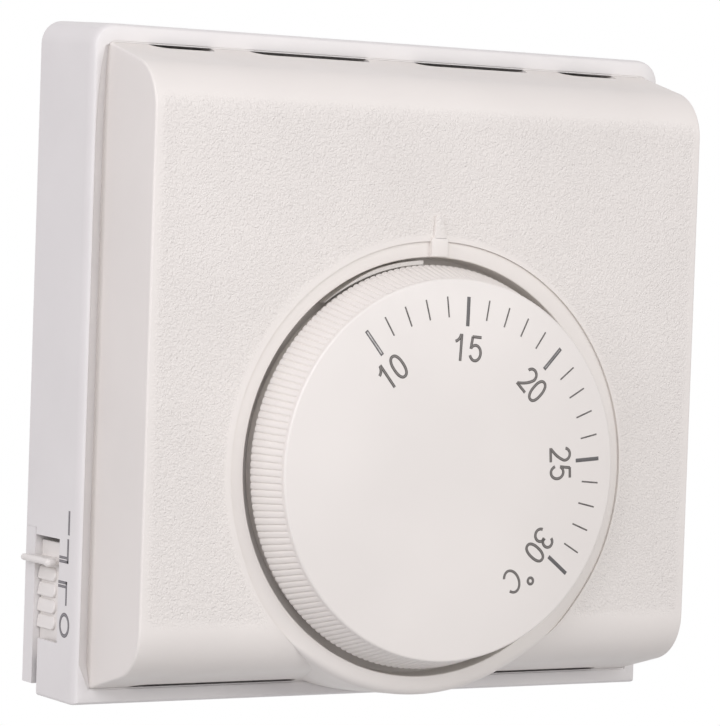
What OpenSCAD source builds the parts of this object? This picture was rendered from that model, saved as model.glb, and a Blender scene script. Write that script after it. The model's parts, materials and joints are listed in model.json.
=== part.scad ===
// Mechanical room thermostat. A rear housing closes over a wall plate, and a front cover with a round
// setting dial low on its face closes the housing. A slide switch sits in the left side.
// Inside, a gas-filled capsule pushes a lever against a snap switch, and the dial's spindle sets how
// hard the range spring holds that lever back.
// X is the viewer's right and Z is up. The wall is the plane Y = 0, and the front looks towards -Y.
// Depths are measured from the wall, so a depth d lies at Y = -d.

/* [Housing] */
// Width of the housing
housing_w = 85.5; // [82:0.5:92]
// Height of the housing
housing_h = 85.5; // [83:0.5:92]
// Depth of the housing's rim from the wall
rim_depth = 15.5; // [15:0.5:18]
// Wall of the housing
wall = 2.0; // [1.6:0.1:2.4]
// Radius of the housing's upper corners
corner_r = 3.0; // [2.5:0.1:4]
// Radius of its lower corners
low_corner_r = 0.8; // [0.5:0.1:2.2]
// Slope of the housing's top, which rises towards the wall, in degrees
top_draft = 3.1; // [1:0.1:4]
// Rounding of the rim's outer edge
rim_round = 0.9; // [0.4:0.1:1.2]
// Width of the ledge that the cover stands on
ledge_w = 2.2; // [1.6:0.1:3]
// Thickness of that ledge
ledge_t = 1.5; // [1.2:0.1:2]
// Depth of the cover's edge behind the rim
cover_sink = 3.5; // [2.5:0.1:4]
// Width of the shallow channel beside the cover
channel_w = 1.1; // [0.6:0.1:1.3]
// Depth of that channel
channel_depth = 0.8; // [0.4:0.1:1.2]
// Length of the channel's tapering upper end
channel_taper = 9.6; // [4:0.2:14]

/* [Wall plate] */
// Thickness of the wall plate's floor
floor_t = 2.0; // [1.6:0.1:2.4]
// Height of the wall plate's upstanding edge
edge_h = 2.8; // [2.6:0.1:3]
// Thickness of that edge
edge_t = 1.5; // [1:0.1:1.8]
// Distance between the two screws of the wall box
box_screw_spacing = 60.3; // [58:0.1:62]
// Diameter of the wall screw holes
wall_screw_d = 4.5; // [3.5:0.1:5]
// Height of the wall box screws above the centre
box_screw_rise = 4.0; // [3:0.5:5]
// Width of the cable opening
cable_w = 40; // [30:1:42]
// Height of the cable opening
cable_h = 10; // [8:0.5:11]
// Radius of the posts that the housing is screwed to
post_r = 3.0; // [2.6:0.1:3.2]

/* [Front cover] */
// How far the cover's face stands in front of the rim
cover_rise = 13.3; // [12:0.1:16]
// Wall of the cover
cover_wall = 1.8; // [1.4:0.1:2.2]
// Radius of the rounded top and bottom of the face
face_round = 6.7; // [4:0.1:9]
// Slope of the cover's top and bottom behind that rounding
top_slope = 15.6; // [10:0.2:20]
// Width of the air slots in the cover, front to back
slot_w = 2.1; // [1:0.1:2.5]
// Length of the inner air slots in the top
slot_len = 17.1; // [12:0.1:19]
// Length of the outer air slots in the top
end_slot_len = 8.8; // [5:0.1:10]
// Height of the pointer over the face
pointer_h = 0.4; // [0.2:0.1:0.8]

/* [Dial] */
// Height of the dial's centre above the housing's bottom
dial_rise = 30.85; // [30.7:0.05:32.5]
// Radius of the dial
dial_r = 25.75; // [24:0.25:26]
// How far the dial stands in front of the cover's face
dial_proud = 6.3; // [4:0.1:9]
// Air gap round the dial
dial_gap = 1.05; // [0.5:0.05:1.3]
// Width of the collar round the dial
collar_w = 2.4; // [1.8:0.1:2.6]
// Recess of the collar's front below the cover's face
collar_recess = 0.3; // [0.1:0.1:0.6]
// Draft angle of the collar's outside
collar_draft = 5; // [0:0.5:6]
// Depth of the well that the dial turns in
well_depth = 3.8; // [3:0.1:4.5]
// Floor of that well
well_floor = 1.6; // [1.2:0.1:2]
// Turn of the dial from the lowest to the highest setting, in degrees
scale_turn = 164.8; // [150:0.1:168]
// Degrees that the scale spans
scale_span = 20; // [15:1:25]
// Ribs round the dial's side
rib_count = 180; // [120:10:200]
// Height of those ribs
rib_h = 0.35; // [0.2:0.05:0.5]
// Length of the ribbed grip, front to back
grip_len = 5.3; // [4:0.1:6]
// How much smaller the grip's radius is at its front
dial_taper = 1.45; // [0.5:0.05:2]
// Rounding between the dial's side and its face
dial_round = 0.9; // [0.5:0.1:1.5]
// Wall of the dial
dial_wall = 1.8; // [1.4:0.1:2.2]

/* [Mechanism] */
// Radius of the gas-filled capsule
capsule_r = 15; // [12:0.5:15.5]
// Thickness of the capsule
capsule_t = 4.0; // [3:0.1:4.4]
// Length of the capsule's stem, up to the lever
stem_h = 1.8; // [1.4:0.1:2.2]
// Sheet steel of the bracket
bracket_t = 1.0; // [0.8:0.1:1.2]
// Width of the bracket's middle
bracket_w = 18; // [16:1:20]
// Clear height inside the bracket
bracket_span = 33; // [32:0.5:34]
// Sheet of the lever
lever_t = 1.0; // [0.8:0.1:1.2]
// Width of the lever
lever_w = 9; // [8:0.5:10]
// Distance from the dial's axis to the lever's pin
pivot_x = 20; // [18:0.5:21]
// Distance from the dial's axis to the snap switch
switch_x = 24; // [23:0.5:25]
// Radius of the lever's pin
pin_r = 1.0; // [0.8:0.1:1.2]
// Radius of the spindle in its bush
spindle_r = 3.0; // [2.5:0.1:3.2]
// Radius of the spindle's threaded end
thread_r = 2.0; // [1.9:0.1:2.3]
// Length of the spindle's bush behind its flange
bush_len = 3.4; // [2.6:0.1:3.8]
// Thickness of the spring seat
seat_t = 2.0; // [1.5:0.1:2.4]
// Mean radius of the range spring
spring_r = 4.4; // [4.2:0.1:4.6]
// Wire of the range spring
spring_wire = 0.9; // [0.6:0.05:1]
// Turns of the range spring
spring_turns = 3.5; // [2.5:0.5:4]
// Radius of the two guide pins
guide_r = 1.0; // [0.8:0.1:1.2]

/* [Slide switch] */
// Height of the window in the housing's side above the housing's bottom
window_rise = 7.35; // [7.2:0.05:7.6]
// Height of the window
window_h = 13.2; // [12.8:0.1:13.4]
// Depth of the window from the wall
window_depth = 10; // [9.5:0.1:10.2]
// Travel between two of the three switch positions
slide_pitch = 2.5; // [2.2:0.1:2.5]
// How far the finger tab stands out of the housing's side
tab_reach = 1.2; // [0.8:0.1:2]
// Thickness of the finger tab
tab_t = 1.55; // [1.2:0.05:1.8]
// Distance between the grip ribs
grip_pitch = 1.95; // [1.8:0.01:2]

/* [Terminals] */
// Number of terminals
ways = 6; // [4:1:6]
// Distance between terminals
way_pitch = 7.2; // [6.8:0.1:7.4]
// Height of the terminal block
block_h = 13; // [12:0.5:13]
// Depth of the terminal block
block_t = 12; // [11.5:0.5:13]
// Thickness of the brass strips
strip_t = 0.6; // [0.4:0.1:0.7]

/* [Fits] */
// Clearance round pieces that slide or close together
part_gap = 0.15; // [0.1:0.05:0.2]
// Radial clearance of pins and shafts that turn
run_gap = 0.04; // [0.02:0.01:0.08]
// Radial clearance of pins and screws that stay put
hold_gap = 0.01; // [0.01:0.01:0.03]
// Gap between moving pieces that push each other
touch = 0.05; // [0.03:0.01:0.08]

/* [Hidden] */
$fn = 64;
// Overlap of cuts past a surface, and of pieces of one solid that join
past = 1;
joint = 0.1;

// Housing and cover
half_w = housing_w / 2;
half_h = housing_h / 2;
top_rise = rim_depth * tan(top_draft);
top_joint = half_h - corner_r - 2;
in_w = housing_w - 2 * wall;
in_h = housing_h - 2 * wall;
in_r = max(corner_r - wall, 0.5);
in_low_r = max(low_corner_r - wall, 0.5);
ledge_front = rim_depth - cover_sink;
ledge_back = ledge_front - ledge_t;
cover_w = in_w - 2 * part_gap;
cover_h = in_h - 2 * part_gap;
face_depth = rim_depth + cover_rise;
slope_start = rim_depth - 0.3;
edge_round = 0.5;
plate_w = in_w - 2 * part_gap;
plate_h = in_h - 2 * part_gap;

// Dial, well and collar
dial_z = dial_rise - half_h;
well_r = dial_r + dial_gap;
well_wall = 1.6;
well_front = face_depth - well_depth;
well_back = well_front - well_floor;
collar_r = well_r + collar_w;
collar_front = face_depth - collar_recess;
collar_back = rim_depth + 0.2;
collar_back_r = collar_r + (collar_front - collar_back) * tan(collar_draft);
dial_front = face_depth + dial_proud;
dial_back = well_front + 0.6;
dial_crown = 0.3;
grip_r = dial_r - dial_taper;
lip_r = grip_r + 0.05;
grip_front = dial_front - dial_round - 0.5;
grip_back = grip_front - grip_len;
skirt_r = dial_r - rib_h - 0.5;
dial_inner_r = grip_r - rib_h - dial_wall;
degree_step = scale_turn / scale_span;
hub_r = 5.5;
spindle_flat = spindle_r - 0.8;

// Range stop: two pins under the dial meet a lug on the well's floor
stop_r = 19;
stop_pin_r = 1.0;
stop_ring_back = well_front + 3.0;
stop_hole_end = dial_front - dial_wall - 1.0;
stop_half = asin((stop_pin_r + touch) / stop_r);
stop_steps = floor(scale_span) + 3;
lug_half = (stop_steps * degree_step - scale_turn) / 2 - stop_half;
lowest_mark = -37.7;
first_pin = 180 - lug_half - stop_half + lowest_mark;

// Screw that holds the cover, sunk in a cup of the well's floor
cup_x = -14.5;
cup_z = dial_z - 14.5;
cup_r = 4.6;
cup_back = well_back - 2.0;
cup_floor = cup_back + 1.6;
cover_screw_r = 1.45;
cover_head_r = 2.8;
cover_head_h = 1.6;
pillar_r = 3.5;
cover_screw_len = 8;
hook_x = 20;
hook_w = 8;
hook_t = 1.4;

// Stack of the mechanism along the dial's axis
bracket_front = well_back - 1.1;
capsule_boss = 0.6;
capsule_back = floor_t + bracket_t;
capsule_front = capsule_back + capsule_boss + capsule_t;
lever_back = capsule_front + stem_h;
lever_front = lever_back + lever_t;
bush_flange = 0.7;
bush_back = bracket_front - bush_len;
clip_t = 0.6;
clip_front = bush_back - 2 * touch;
clip_back = clip_front - clip_t;
seat_play = 0.5;
seat_front = clip_back - seat_play;
seat_back = seat_front - seat_t;
thread_end = seat_back - 1.1;
spindle_shoulder = bracket_front + bush_flange + touch;
spigot_r = spring_r - spring_wire / 2 - 0.45;
spigot_h = 0.8;
guide_z = 8.5;
lever_half = lever_w / 2;
lug_gap = 0.2;
lug_in = lever_half + 0.5 + lug_gap;
lug_out = lug_in + bracket_t;
pivot_depth = lever_front + 2.0;
arm_half = bracket_w / 2;
leg_in = bracket_span / 2;
leg_out = leg_in + bracket_t;

// Capsule and range spring
capsule_middle = capsule_back + capsule_boss + capsule_t / 2;
capsule_waves = 3;
wave_steps = 36;
coil_steps = spring_turns * 20;
coil_sides = 8;
coil_wire = spring_wire / 2;
coil_back = lever_front + coil_wire + touch;
coil_front = seat_back - coil_wire - touch;

// Snap switch
case_w = 6.4;
case_len = 20;
case_back = lever_front + 2.0;
case_front = case_back + 8.0;
wing_x = switch_x + case_w / 2;
wing_half = case_len / 2 + 0.5;
case_screw_z = 7.2;
case_screw_depth = case_back + 5.0;
case_screw_r = 1.1;
plunger_back = lever_front + 1.2;
plunger_w = 1.6;
plunger_h = 3.0;
trim_r = 1.25;
plunger_end = plunger_back + 3.6;
// Tabs of the snap switch: side of the case, and depth from its back face
SWITCH_TABS = [[1, 1.6], [1, 6.2], [-1, 1.6]];

// Slide switch
window_bottom = window_rise - half_h;
window_top = window_bottom + window_h;
strip_top = window_top + 0.9;
strip_bottom = -plate_h / 2 - 0.8;
slide_back = edge_h + 0.3;
slide_front = window_depth - 0.2;
slide_t = 1.4;
slide_out = -in_w / 2 + part_gap;
slide_in = slide_out + slide_t;
slide_top = window_top + slide_pitch + 1.4;
slide_step = window_top - 0.65;
slide_bottom = window_bottom - slide_pitch - 0.2;
tab_top = window_top - slide_pitch - part_gap;
tab_bottom = tab_top - tab_t;
grip_out = -half_w + 1.1;
grip_first = tab_bottom - 1.5;
thin_wall = 0.9;
arm_z = tab_bottom - 3.6;
arm_half_h = 1.5;
arm_back = slide_back + 1.1;
arm_t = 2.0;
arm_end = slide_in + 7.2;
arm_top_z = arm_z + arm_half_h;
arm_bottom_z = arm_z - arm_half_h;
nib_r = 0.8;
rail_x = slide_in + 2.0;
pad_x = slide_in + 4.3;
foot_x1 = rail_x + 0.8;
foot_x2 = pad_x + 0.9;
wiper_t = 0.4;
leaf_x = arm_end + 0.4;
leaf_t = 0.3;
leaf_wave = 0.3;
leaf_top = arm_top_z + slide_pitch + 2.1;
leaf_bottom = arm_bottom_z - slide_pitch - 2.1;
leaf_half = 1.0;
leaf_back = arm_back - 0.9;
leaf_front = arm_back + arm_t + 0.9;
leaf_flat_x = leaf_x - leaf_wave;
leaf_steps = 36;
guide_gap = 0.2;

// Terminal block
block_w = ways * way_pitch + 1.2;
block_z = in_h / 2 - 5.75 - block_h;
block_back = floor_t;
block_front = block_back + block_t;
clamp_w = 5.0;
clamp_len = 8.0;
clamp_h = 6.0;
clamp_back = block_back + 1.6;
clamp_z = block_z + 2.4;
wire_hole = 3.2;
term_screw_r = 1.45;
term_head_r = 2.1;

// Screws of the housing and of the bracket
screw_inset = 5.0;
post_x = in_w / 2 - screw_inset;
post_z = in_h / 2 - screw_inset;
HOUSING_SCREWS = [[-post_x, post_z], [post_x, post_z], [post_x, -post_z]];
housing_screw_r = 1.4;
housing_head_r = 2.6;
housing_head_h = 1.9;
BRACKET_SCREWS = [-pivot_x - 1, capsule_r + 3.2];
bracket_screw_r = 1.2;
bracket_head_r = 2.1;
strip_w = 1.5;
tab_out = 4.5;
tab_end = case_len / 2 + tab_out + 0.1;

// Wiring on the wall plate's floor, and the resistor that stands on it
cable_z = block_z - 4 - cable_h / 2;
pad_half = slide_pitch / 2 - 0.2;
on_x = leaf_x + 1.6;
up_x = -cable_w / 2 - 4.2;
bracket_top_z = dial_z + lug_out;
low_z = -plate_h / 2 + edge_t + 1.1;
far_x = post_x - 1.4;
resistor_x = 14;
resistor_z0 = low_z + strip_w / 2;
resistor_z1 = dial_z - 13.2;
resistor_depth = floor_t + 4.0;

// Helpers: shapes are drawn in the wall's plane and pushed out from it between two depths
module deep(d0, d1) translate([0, -d0, 0]) rotate([90, 0, 0]) linear_extrude(d1 - d0) children();
module rod(x, z, d0, d1, r) translate([x, -d0, z]) rotate([90, 0, 0]) cylinder(h = d1 - d0, r = r);
module cone(x, z, d0, d1, r0, r1)
    translate([x, -d0, z]) rotate([90, 0, 0]) cylinder(h = d1 - d0, r1 = r0, r2 = r1);
module block(x0, x1, d0, d1, z0, z1) translate([x0, -d1, z0]) cube([x1 - x0, d1 - d0, z1 - z0]);
module across(x0, x1, d, z, r) translate([x0, -d, z]) rotate([0, 90, 0]) cylinder(h = x1 - x0, r = r);
module upright(x, d, z0, z1, r) translate([x, -d, z0]) cylinder(h = z1 - z0, r = r);
// Turned about an axis that points out from the wall, from a profile of [radius, depth]
module turned(x, z) translate([x, 0, z]) rotate([90, 0, 0]) rotate_extrude() children();
// A section of [-depth, height] drawn along the width
module along_width(w) rotate([90, 0, 90]) linear_extrude(w, center = true) children();

function arc(cx, cy, r, a0, a1, n) =
    [for (i = [0:n]) let (a = a0 + (a1 - a0) * i / n) [cx + r * cos(a), cy + r * sin(a)]];
module rounded(w, h, r, low_r) polygon(concat(
    arc(w / 2 - r, h / 2 - r, r, 0, 90, 8), arc(r - w / 2, h / 2 - r, r, 90, 180, 8),
    arc(low_r - w / 2, low_r - h / 2, low_r, 180, 270, 8),
    arc(w / 2 - low_r, low_r - h / 2, low_r, 270, 360, 8)));
// Place at an angle clockwise from the top, seen from the front
function clock(r, a) = [r * sin(a), r * cos(a)];

// Section of the rim: straight sides that end in a rounded front edge
function rim_half(half, rise) =
    concat([[0, half + rise]], arc(rim_round - rim_depth, half - rim_round, rim_round, 90, 180, 6));
function mirrored(points) = [for (i = [len(points) - 1:-1:0]) [points[i][0], -points[i][1]]];
module rim_section(half, rise = 0) polygon(concat(rim_half(half, rise), mirrored(rim_half(half, 0))));

module housing_block() intersection() {
    union() {
        intersection() {
            deep(0, rim_depth) housing_outline();
            block(-half_w - past, half_w + past, -past, rim_depth + past, -half_h - past, top_joint);
        }
        tilted_top();
    }
    along_width(housing_w + past) rim_section(half_h, top_rise + 0.5);
    rotate([0, 90, 0]) along_width(housing_h + 2 * (top_rise + past)) rim_section(half_w);
}

module housing_outline() rounded(housing_w, housing_h, corner_r, low_corner_r);

// Upper end of that outline, tilted about the rim's front edge so that the top rises towards the wall
module tilted_top() intersection() {
    block(-half_w - past, half_w + past, 0, rim_depth, top_joint - joint, half_h + top_rise + past);
    translate([0, -rim_depth, half_h - 0.02]) rotate([top_draft, 0, 0])
        deep(-rim_depth - 2 * past, 2 * past) translate([0, -half_h]) housing_outline();
}

module housing() color("gainsboro") difference() {
    union() {
        difference() {
            housing_block();
            deep(-past, ledge_back) rounded(in_w, in_h, in_r, in_low_r);
            deep(0, ledge_front + past) square([in_w - 2 * ledge_w, in_h - 2 * ledge_w], center = true);
            deep(ledge_front, rim_depth + past) square([in_w, in_h], center = true);
        }
        for (p = HOUSING_SCREWS) intersection() {
            rod(p[0], p[1], ledge_back, ledge_front, screw_inset + 1.4);
            deep(ledge_back, ledge_front) square([in_w + wall, in_h + wall], center = true);
        }
    }
    for (p = HOUSING_SCREWS) rod(p[0], p[1], 0, rim_depth, housing_screw_r + 0.2);
    for (side = [0, 1]) mirror([side, 0, 0]) side_channel();
    block(-half_w - past, slide_out + 0.1, -past, window_depth, window_bottom, window_top);
    block(-half_w - past, slide_out + 0.1, -past, edge_h + part_gap, window_bottom, strip_top + part_gap);
    block(-half_w - past, -in_w / 2, -past, edge_h + 1.5, -half_h - past, window_bottom + past);
    block(-half_w + thin_wall, in_r - in_w / 2, -past, window_depth, -in_h / 2, window_bottom + past);
}

// Shallow channel beside the cover, whose upper end tapers off in a quarter of an ellipse
module side_channel() deep(rim_depth - channel_depth, rim_depth + past) translate([in_w / 2, 0])
    polygon(concat([[-past, in_low_r - in_h / 2], [channel_w, in_low_r - in_h / 2]],
        [for (a = [0:9:90]) [channel_w * cos(a), in_h / 2 - 0.4 - channel_taper * (1 - sin(a))]],
        [[-past, in_h / 2 - 0.4]]));

module housing_screws() color("silver") for (p = HOUSING_SCREWS) difference() {
    union() {
        rod(p[0], p[1], ledge_front, ledge_front + housing_head_h, housing_head_r);
        rod(p[0], p[1], floor_t + 2.5, ledge_front, housing_screw_r);
    }
    cross_slot(p[0], p[1], ledge_front + housing_head_h, housing_head_r);
}

module cross_slot(x, z, d, r) translate([x, -d, z]) {
    cube([r * 1.3, 1.6, r * 0.3], center = true);
    cube([r * 0.3, 1.6, r * 1.3], center = true);
}

module wall_plate() color("whitesmoke") difference() {
    union() {
        deep(0, floor_t) rounded(plate_w, plate_h, in_r, in_low_r);
        deep(0, edge_h) difference() {
            rounded(plate_w, plate_h, in_r, in_low_r);
            square([plate_w - 2 * edge_t, plate_h - 2 * edge_t], center = true);
        }
        block(-half_w, -in_w / 2 - part_gap, 0, edge_h, strip_bottom, strip_top);
        block(-in_w / 2 - part_gap - joint, -plate_w / 2 + edge_t, 0, edge_h, in_r - plate_h / 2, strip_top);
        for (p = HOUSING_SCREWS) rod(p[0], p[1], 0, ledge_back, post_r);
        rod(cup_x, cup_z, 0, cup_back, pillar_r);
        slide_guides();
        leaf_post(leaf_top);
        leaf_post(leaf_bottom);
    }
    deep(-past, floor_t + past) translate([0, cable_z]) rounded(cable_w, cable_h, 3, 3);
    for (side = [-1, 1])
        rod(side * box_screw_spacing / 2, box_screw_rise, -past, floor_t + past, wall_screw_d / 2);
    for (p = HOUSING_SCREWS) rod(p[0], p[1], floor_t + 2, rim_depth, housing_screw_r + hold_gap);
    rod(cup_x, cup_z, cup_back - cover_screw_len - 1, cup_back + past, cover_screw_r + hold_gap);
    for (x = BRACKET_SCREWS) rod(x, dial_z, 0.3, floor_t + past, bracket_screw_r + hold_gap);
    leaf_slot();
}

// Two upright ribs keep the slider against the housing's side
module slide_guides() {
    x0 = slide_in + guide_gap;
    block(x0, x0 + 1.2, 0, slide_front - 1, arm_top_z + slide_pitch + 0.3, slide_top - 1);
    block(x0, x0 + 1.2, 0, slide_front - 1, -plate_h / 2 + edge_t, arm_bottom_z - slide_pitch - 0.3);
}

module front_cover() color("white") difference() {
    union() {
        difference() {
            union() {
                cover_block(cover_w, cover_h / 2, face_depth, face_round, ledge_front);
                cone(0, dial_z, collar_back, collar_front, collar_back_r, collar_r);
            }
            cover_cavity();
            rod(0, dial_z, collar_front, face_depth + past, collar_r);
            rod(0, dial_z, well_front, face_depth + past, well_r);
            cone(0, dial_z, collar_front - 0.4, collar_front + 0.01, well_r, well_r + 0.4);
        }
        stop_lug();
        pointer();
        for (side = [-1, 1]) cover_hook(side * hook_x);
    }
    rod(0, dial_z, well_back - past, well_front + past, spindle_r + 1.7);
    rod(cup_x, cup_z, cup_back - past, cup_floor + past, cover_screw_r + 0.25);
    rod(cup_x, cup_z, cup_floor, well_front + past, cover_head_r + 0.4);
    air_slots();
}

// The cover's outer or inner form: a section with a sloping top and a rounded edge, drawn along the width
function cover_half(half, front, r, back) =
    let (run = front - r - slope_start,
         cz = half - (r + run * sin(top_slope)) / cos(top_slope))
    concat([[-back, half], [-slope_start, half]], arc(r - front, cz, r, 90 + top_slope, 180, 10));
module cover_block(w, half, front, r, back) {
    upper = cover_half(half, front, r, back);
    side = w / 2;
    intersection() {
        along_width(w) polygon(concat(upper, mirrored(upper)));
        linear_extrude(2 * half + past, center = true) polygon([[-side, -back], [-side, edge_round - front],
            [edge_round - side, -front], [side - edge_round, -front], [side, edge_round - front],
            [side, -back]]);
    }
}

module cover_cavity() difference() {
    union() {
        cover_block(cover_w - 2 * cover_wall, cover_h / 2 - cover_wall, face_depth - cover_wall,
            face_round - cover_wall, ledge_front - past);
        cone(0, dial_z, collar_back + 1.2, face_depth - cover_wall,
            collar_back_r - cover_wall, collar_r - cover_wall);
    }
    rod(0, dial_z, well_back, face_depth, well_r + well_wall);
    rod(cup_x, cup_z, cup_back, face_depth, cup_r);
}

module air_slots() {
    slot_front = slope_start + slot_w;
    for (side = [0, 1]) mirror([side, 0, 0]) {
        block(3.6, 3.6 + slot_len, slope_start + 0.1, slot_front, cover_h / 2 - 4, half_h + past);
        block(35.1 - end_slot_len, 35.1, slope_start + 0.1, slot_front, cover_h / 2 - 4, half_h + past);
        block(12.4, 35.3, slope_start + 0.1, slot_front, -half_h - past, 4 - cover_h / 2);
    }
}

// Lug that the range pins run against, at the bottom of the well
module stop_lug() deep(well_front - 0.5, stop_ring_back - 0.4) translate([0, dial_z])
    polygon(concat(arc(0, 0, stop_r + 1.4, 270 - lug_half, 270 + lug_half, 8),
        arc(0, 0, stop_r - 1.4, 270 + lug_half, 270 - lug_half, 8)));

// Raised pointer over the dial: a pad on the collar and a ridge that narrows upwards
module pointer() translate([0, 0, dial_z]) {
    deep(collar_front - 2 * joint, face_depth + pointer_h)
        translate([-0.95, well_r + joint]) square([2.4, collar_w]);
    deep(face_depth - 2 * joint, face_depth + pointer_h)
        polygon([[-0.6, collar_r], [1.2, collar_r], [0.5, collar_r + 2.9], [-0.45, collar_r + 2.9]]);
}

// Tongue with a barb that catches behind the housing's upper ledge
module cover_hook(x) {
    top = in_h / 2 - ledge_w - part_gap;
    x0 = x - hook_w / 2;
    x1 = x + hook_w / 2;
    block(x0, x1, ledge_front + 0.3, ledge_front + 2.5, top - hook_t, cover_h / 2 - cover_wall + joint);
    block(x0, x1, ledge_back - 1.6, ledge_front + 0.3, top - hook_t, top);
    along_tongue = [[-(ledge_back - 1.6), top - 0.1], [-(ledge_back - 0.15), top - 0.1],
        [-(ledge_back - 0.15), top + 0.9]];
    translate([x, 0, 0]) along_width(hook_w) polygon(along_tongue);
}

module cover_screw() color("silver") difference() {
    union() {
        rod(cup_x, cup_z, cup_floor, cup_floor + cover_head_h, cover_head_r);
        rod(cup_x, cup_z, cup_back - cover_screw_len, cup_floor, cover_screw_r);
    }
    cross_slot(cup_x, cup_z, cup_floor + cover_head_h, cover_head_r);
}

module setting_dial() color("white") difference() {
    union() {
        turned(0, dial_z) polygon(dial_profile());
        difference() {
            intersection() {
                cone(0, dial_z, grip_back, grip_front + joint, dial_r, grip_r);
                deep(grip_back - past, grip_front + past) translate([0, dial_z]) grip_bars();
            }
            rod(0, dial_z, grip_back - past, grip_front + past, grip_r - rib_h - 0.6);
        }
        rod(0, dial_z, dial_back, dial_front - 1, hub_r);
        difference() {
            rod(0, dial_z, stop_ring_back, dial_front - 1, stop_r + 1.7);
            rod(0, dial_z, stop_ring_back - past, dial_front, stop_r - 1.7);
        }
        for (k = [0:5]) translate([0, 0, dial_z]) rotate([0, 60 * k, 0]) dial_rib();
    }
    difference() {
        rod(0, dial_z, dial_back - past, dial_front - 2.0, spindle_r + hold_gap);
        block(spindle_flat + hold_gap, spindle_r + past, dial_back - 2 * past, dial_front,
            dial_z - spindle_r - past, dial_z + spindle_r + past);
    }
    for (k = [0:stop_steps]) stop_place(k)
        rod(0, 0, stop_ring_back - past, stop_hole_end, stop_pin_r + hold_gap);
}

module stop_place(k) {
    p = clock(stop_r, first_pin + k * degree_step);
    translate([p[0], 0, dial_z + p[1]]) children();
}

// Bars that stand round the grip, cut to its cone by an intersection
module grip_bars() let (pitch = 360 / rib_count) polygon([for (i = [0:rib_count - 1], corner = [0:3])
    clock(corner % 3 == 0 ? grip_r - rib_h - 0.5 : dial_r + past,
        (i + [-0.33, -0.2, 0.2, 0.33][corner]) * pitch)]);

// Stiffening rib from the hub to the dial's wall
module dial_rib() block(hub_r - joint, dial_inner_r + dial_wall / 2,
    dial_front - dial_wall - 2.6, dial_front - dial_wall + joint, -0.6, 0.6);

// Section of the dial's shell as [radius, depth]: crowned face, rounded edge, grip, skirt and inside
function dial_profile() =
    let (flat_r = lip_r - dial_round)
    concat(
        [for (i = [0:6]) let (r = flat_r * i / 6) [r, dial_front + dial_crown * (1 - pow(r / flat_r, 2))]],
        arc(flat_r, dial_front - dial_round, dial_round, 84, 0, 7),
        [[lip_r, grip_front], [grip_r - rib_h, grip_front], [dial_r - rib_h, grip_back],
         [skirt_r, grip_back], [skirt_r, dial_back], [skirt_r - dial_wall, dial_back],
         [dial_inner_r, dial_front - dial_wall], [0, dial_front - dial_wall]]);

module range_pins() color("silver") for (k = [0, stop_steps])
    stop_place(k) rod(0, 0, well_front + 0.5, stop_hole_end - 0.1, stop_pin_r);

module dial_spindle() color("goldenrod") {
    rod(0, dial_z, thread_end, clip_back, thread_r);
    rod(0, dial_z, clip_back, clip_front, thread_r - 0.2);
    rod(0, dial_z, clip_front, spindle_shoulder, spindle_r);
    rod(0, dial_z, spindle_shoulder, well_front - 1.0, spindle_r + 1);
    difference() {
        rod(0, dial_z, well_front - 1.0, dial_front - 2.1, spindle_r);
        block(spindle_flat, spindle_r + past, dial_back - 0.3, dial_front,
            dial_z - spindle_r, dial_z + spindle_r);
    }
}

module spindle_bush() color("darkgoldenrod") difference() {
    union() {
        rod(0, dial_z, bush_back, bracket_front, spindle_r + 1);
        rod(0, dial_z, bracket_front, bracket_front + bush_flange, spindle_r + 2.2);
    }
    rod(0, dial_z, bush_back - past, bracket_front + 2, spindle_r + run_gap);
}

module spindle_clip() color("dimgray") difference() {
    rod(0, dial_z, clip_back, clip_front, spindle_r + 1.4);
    rod(0, dial_z, clip_back - past, clip_front + past, thread_r - 0.2 + hold_gap);
    block(-1.2, 1.2, clip_back - past, clip_front + past, dial_z - spindle_r - 2, dial_z);
}

module spring_seat() color("burlywood") difference() {
    union() {
        rod(0, dial_z, seat_back, seat_front, 5.5);
        rod(0, dial_z, seat_back - spigot_h, seat_back, spigot_r);
        block(-2.2, 2.2, seat_back, seat_front, dial_z - guide_z, dial_z + guide_z);
        for (side = [-1, 1]) rod(0, dial_z + side * guide_z, seat_back, seat_front, 2.2);
    }
    rod(0, dial_z, seat_back - past - spigot_h, seat_front + past, thread_r + run_gap);
    for (side = [-1, 1])
        rod(0, dial_z + side * guide_z, seat_back - past, seat_front + past, guide_r + run_gap);
}

module guide_pins() color("silver") for (side = [-1, 1])
    rod(0, dial_z + side * guide_z, seat_back - 2.0, bracket_front, guide_r);

// Coil swept round the dial's axis between the lever and the spring seat, with closed end turns
function coil_rise(t) = t < 0.5 ? 0.1 * t : t > spring_turns - 0.5 ? 1 - 0.1 * (spring_turns - t)
    : 0.05 + 0.9 * (t - 0.5) / (spring_turns - 1);
function coil_ring(i) = let (a = i * 18, d = coil_back + (coil_front - coil_back) * coil_rise(i / 20))
    [for (j = [0:coil_sides - 1]) let (b = j * 360 / coil_sides, r = spring_r + coil_wire * cos(b))
        [r * cos(a), -(d + coil_wire * sin(b)), dial_z + r * sin(a)]];
module range_spring() {
    points = [for (i = [0:coil_steps]) each coil_ring(i)];
    skin = [for (i = [0:coil_steps - 1]) for (j = [0:coil_sides - 1]) let (k = (j + 1) % coil_sides)
        [i * coil_sides + j, i * coil_sides + k, (i + 1) * coil_sides + k, (i + 1) * coil_sides + j]];
    ends = [[for (j = [coil_sides - 1:-1:0]) j], [for (j = [0:coil_sides - 1]) coil_steps * coil_sides + j]];
    color("slategray") polyhedron(points, concat(skin, ends));
}

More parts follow.
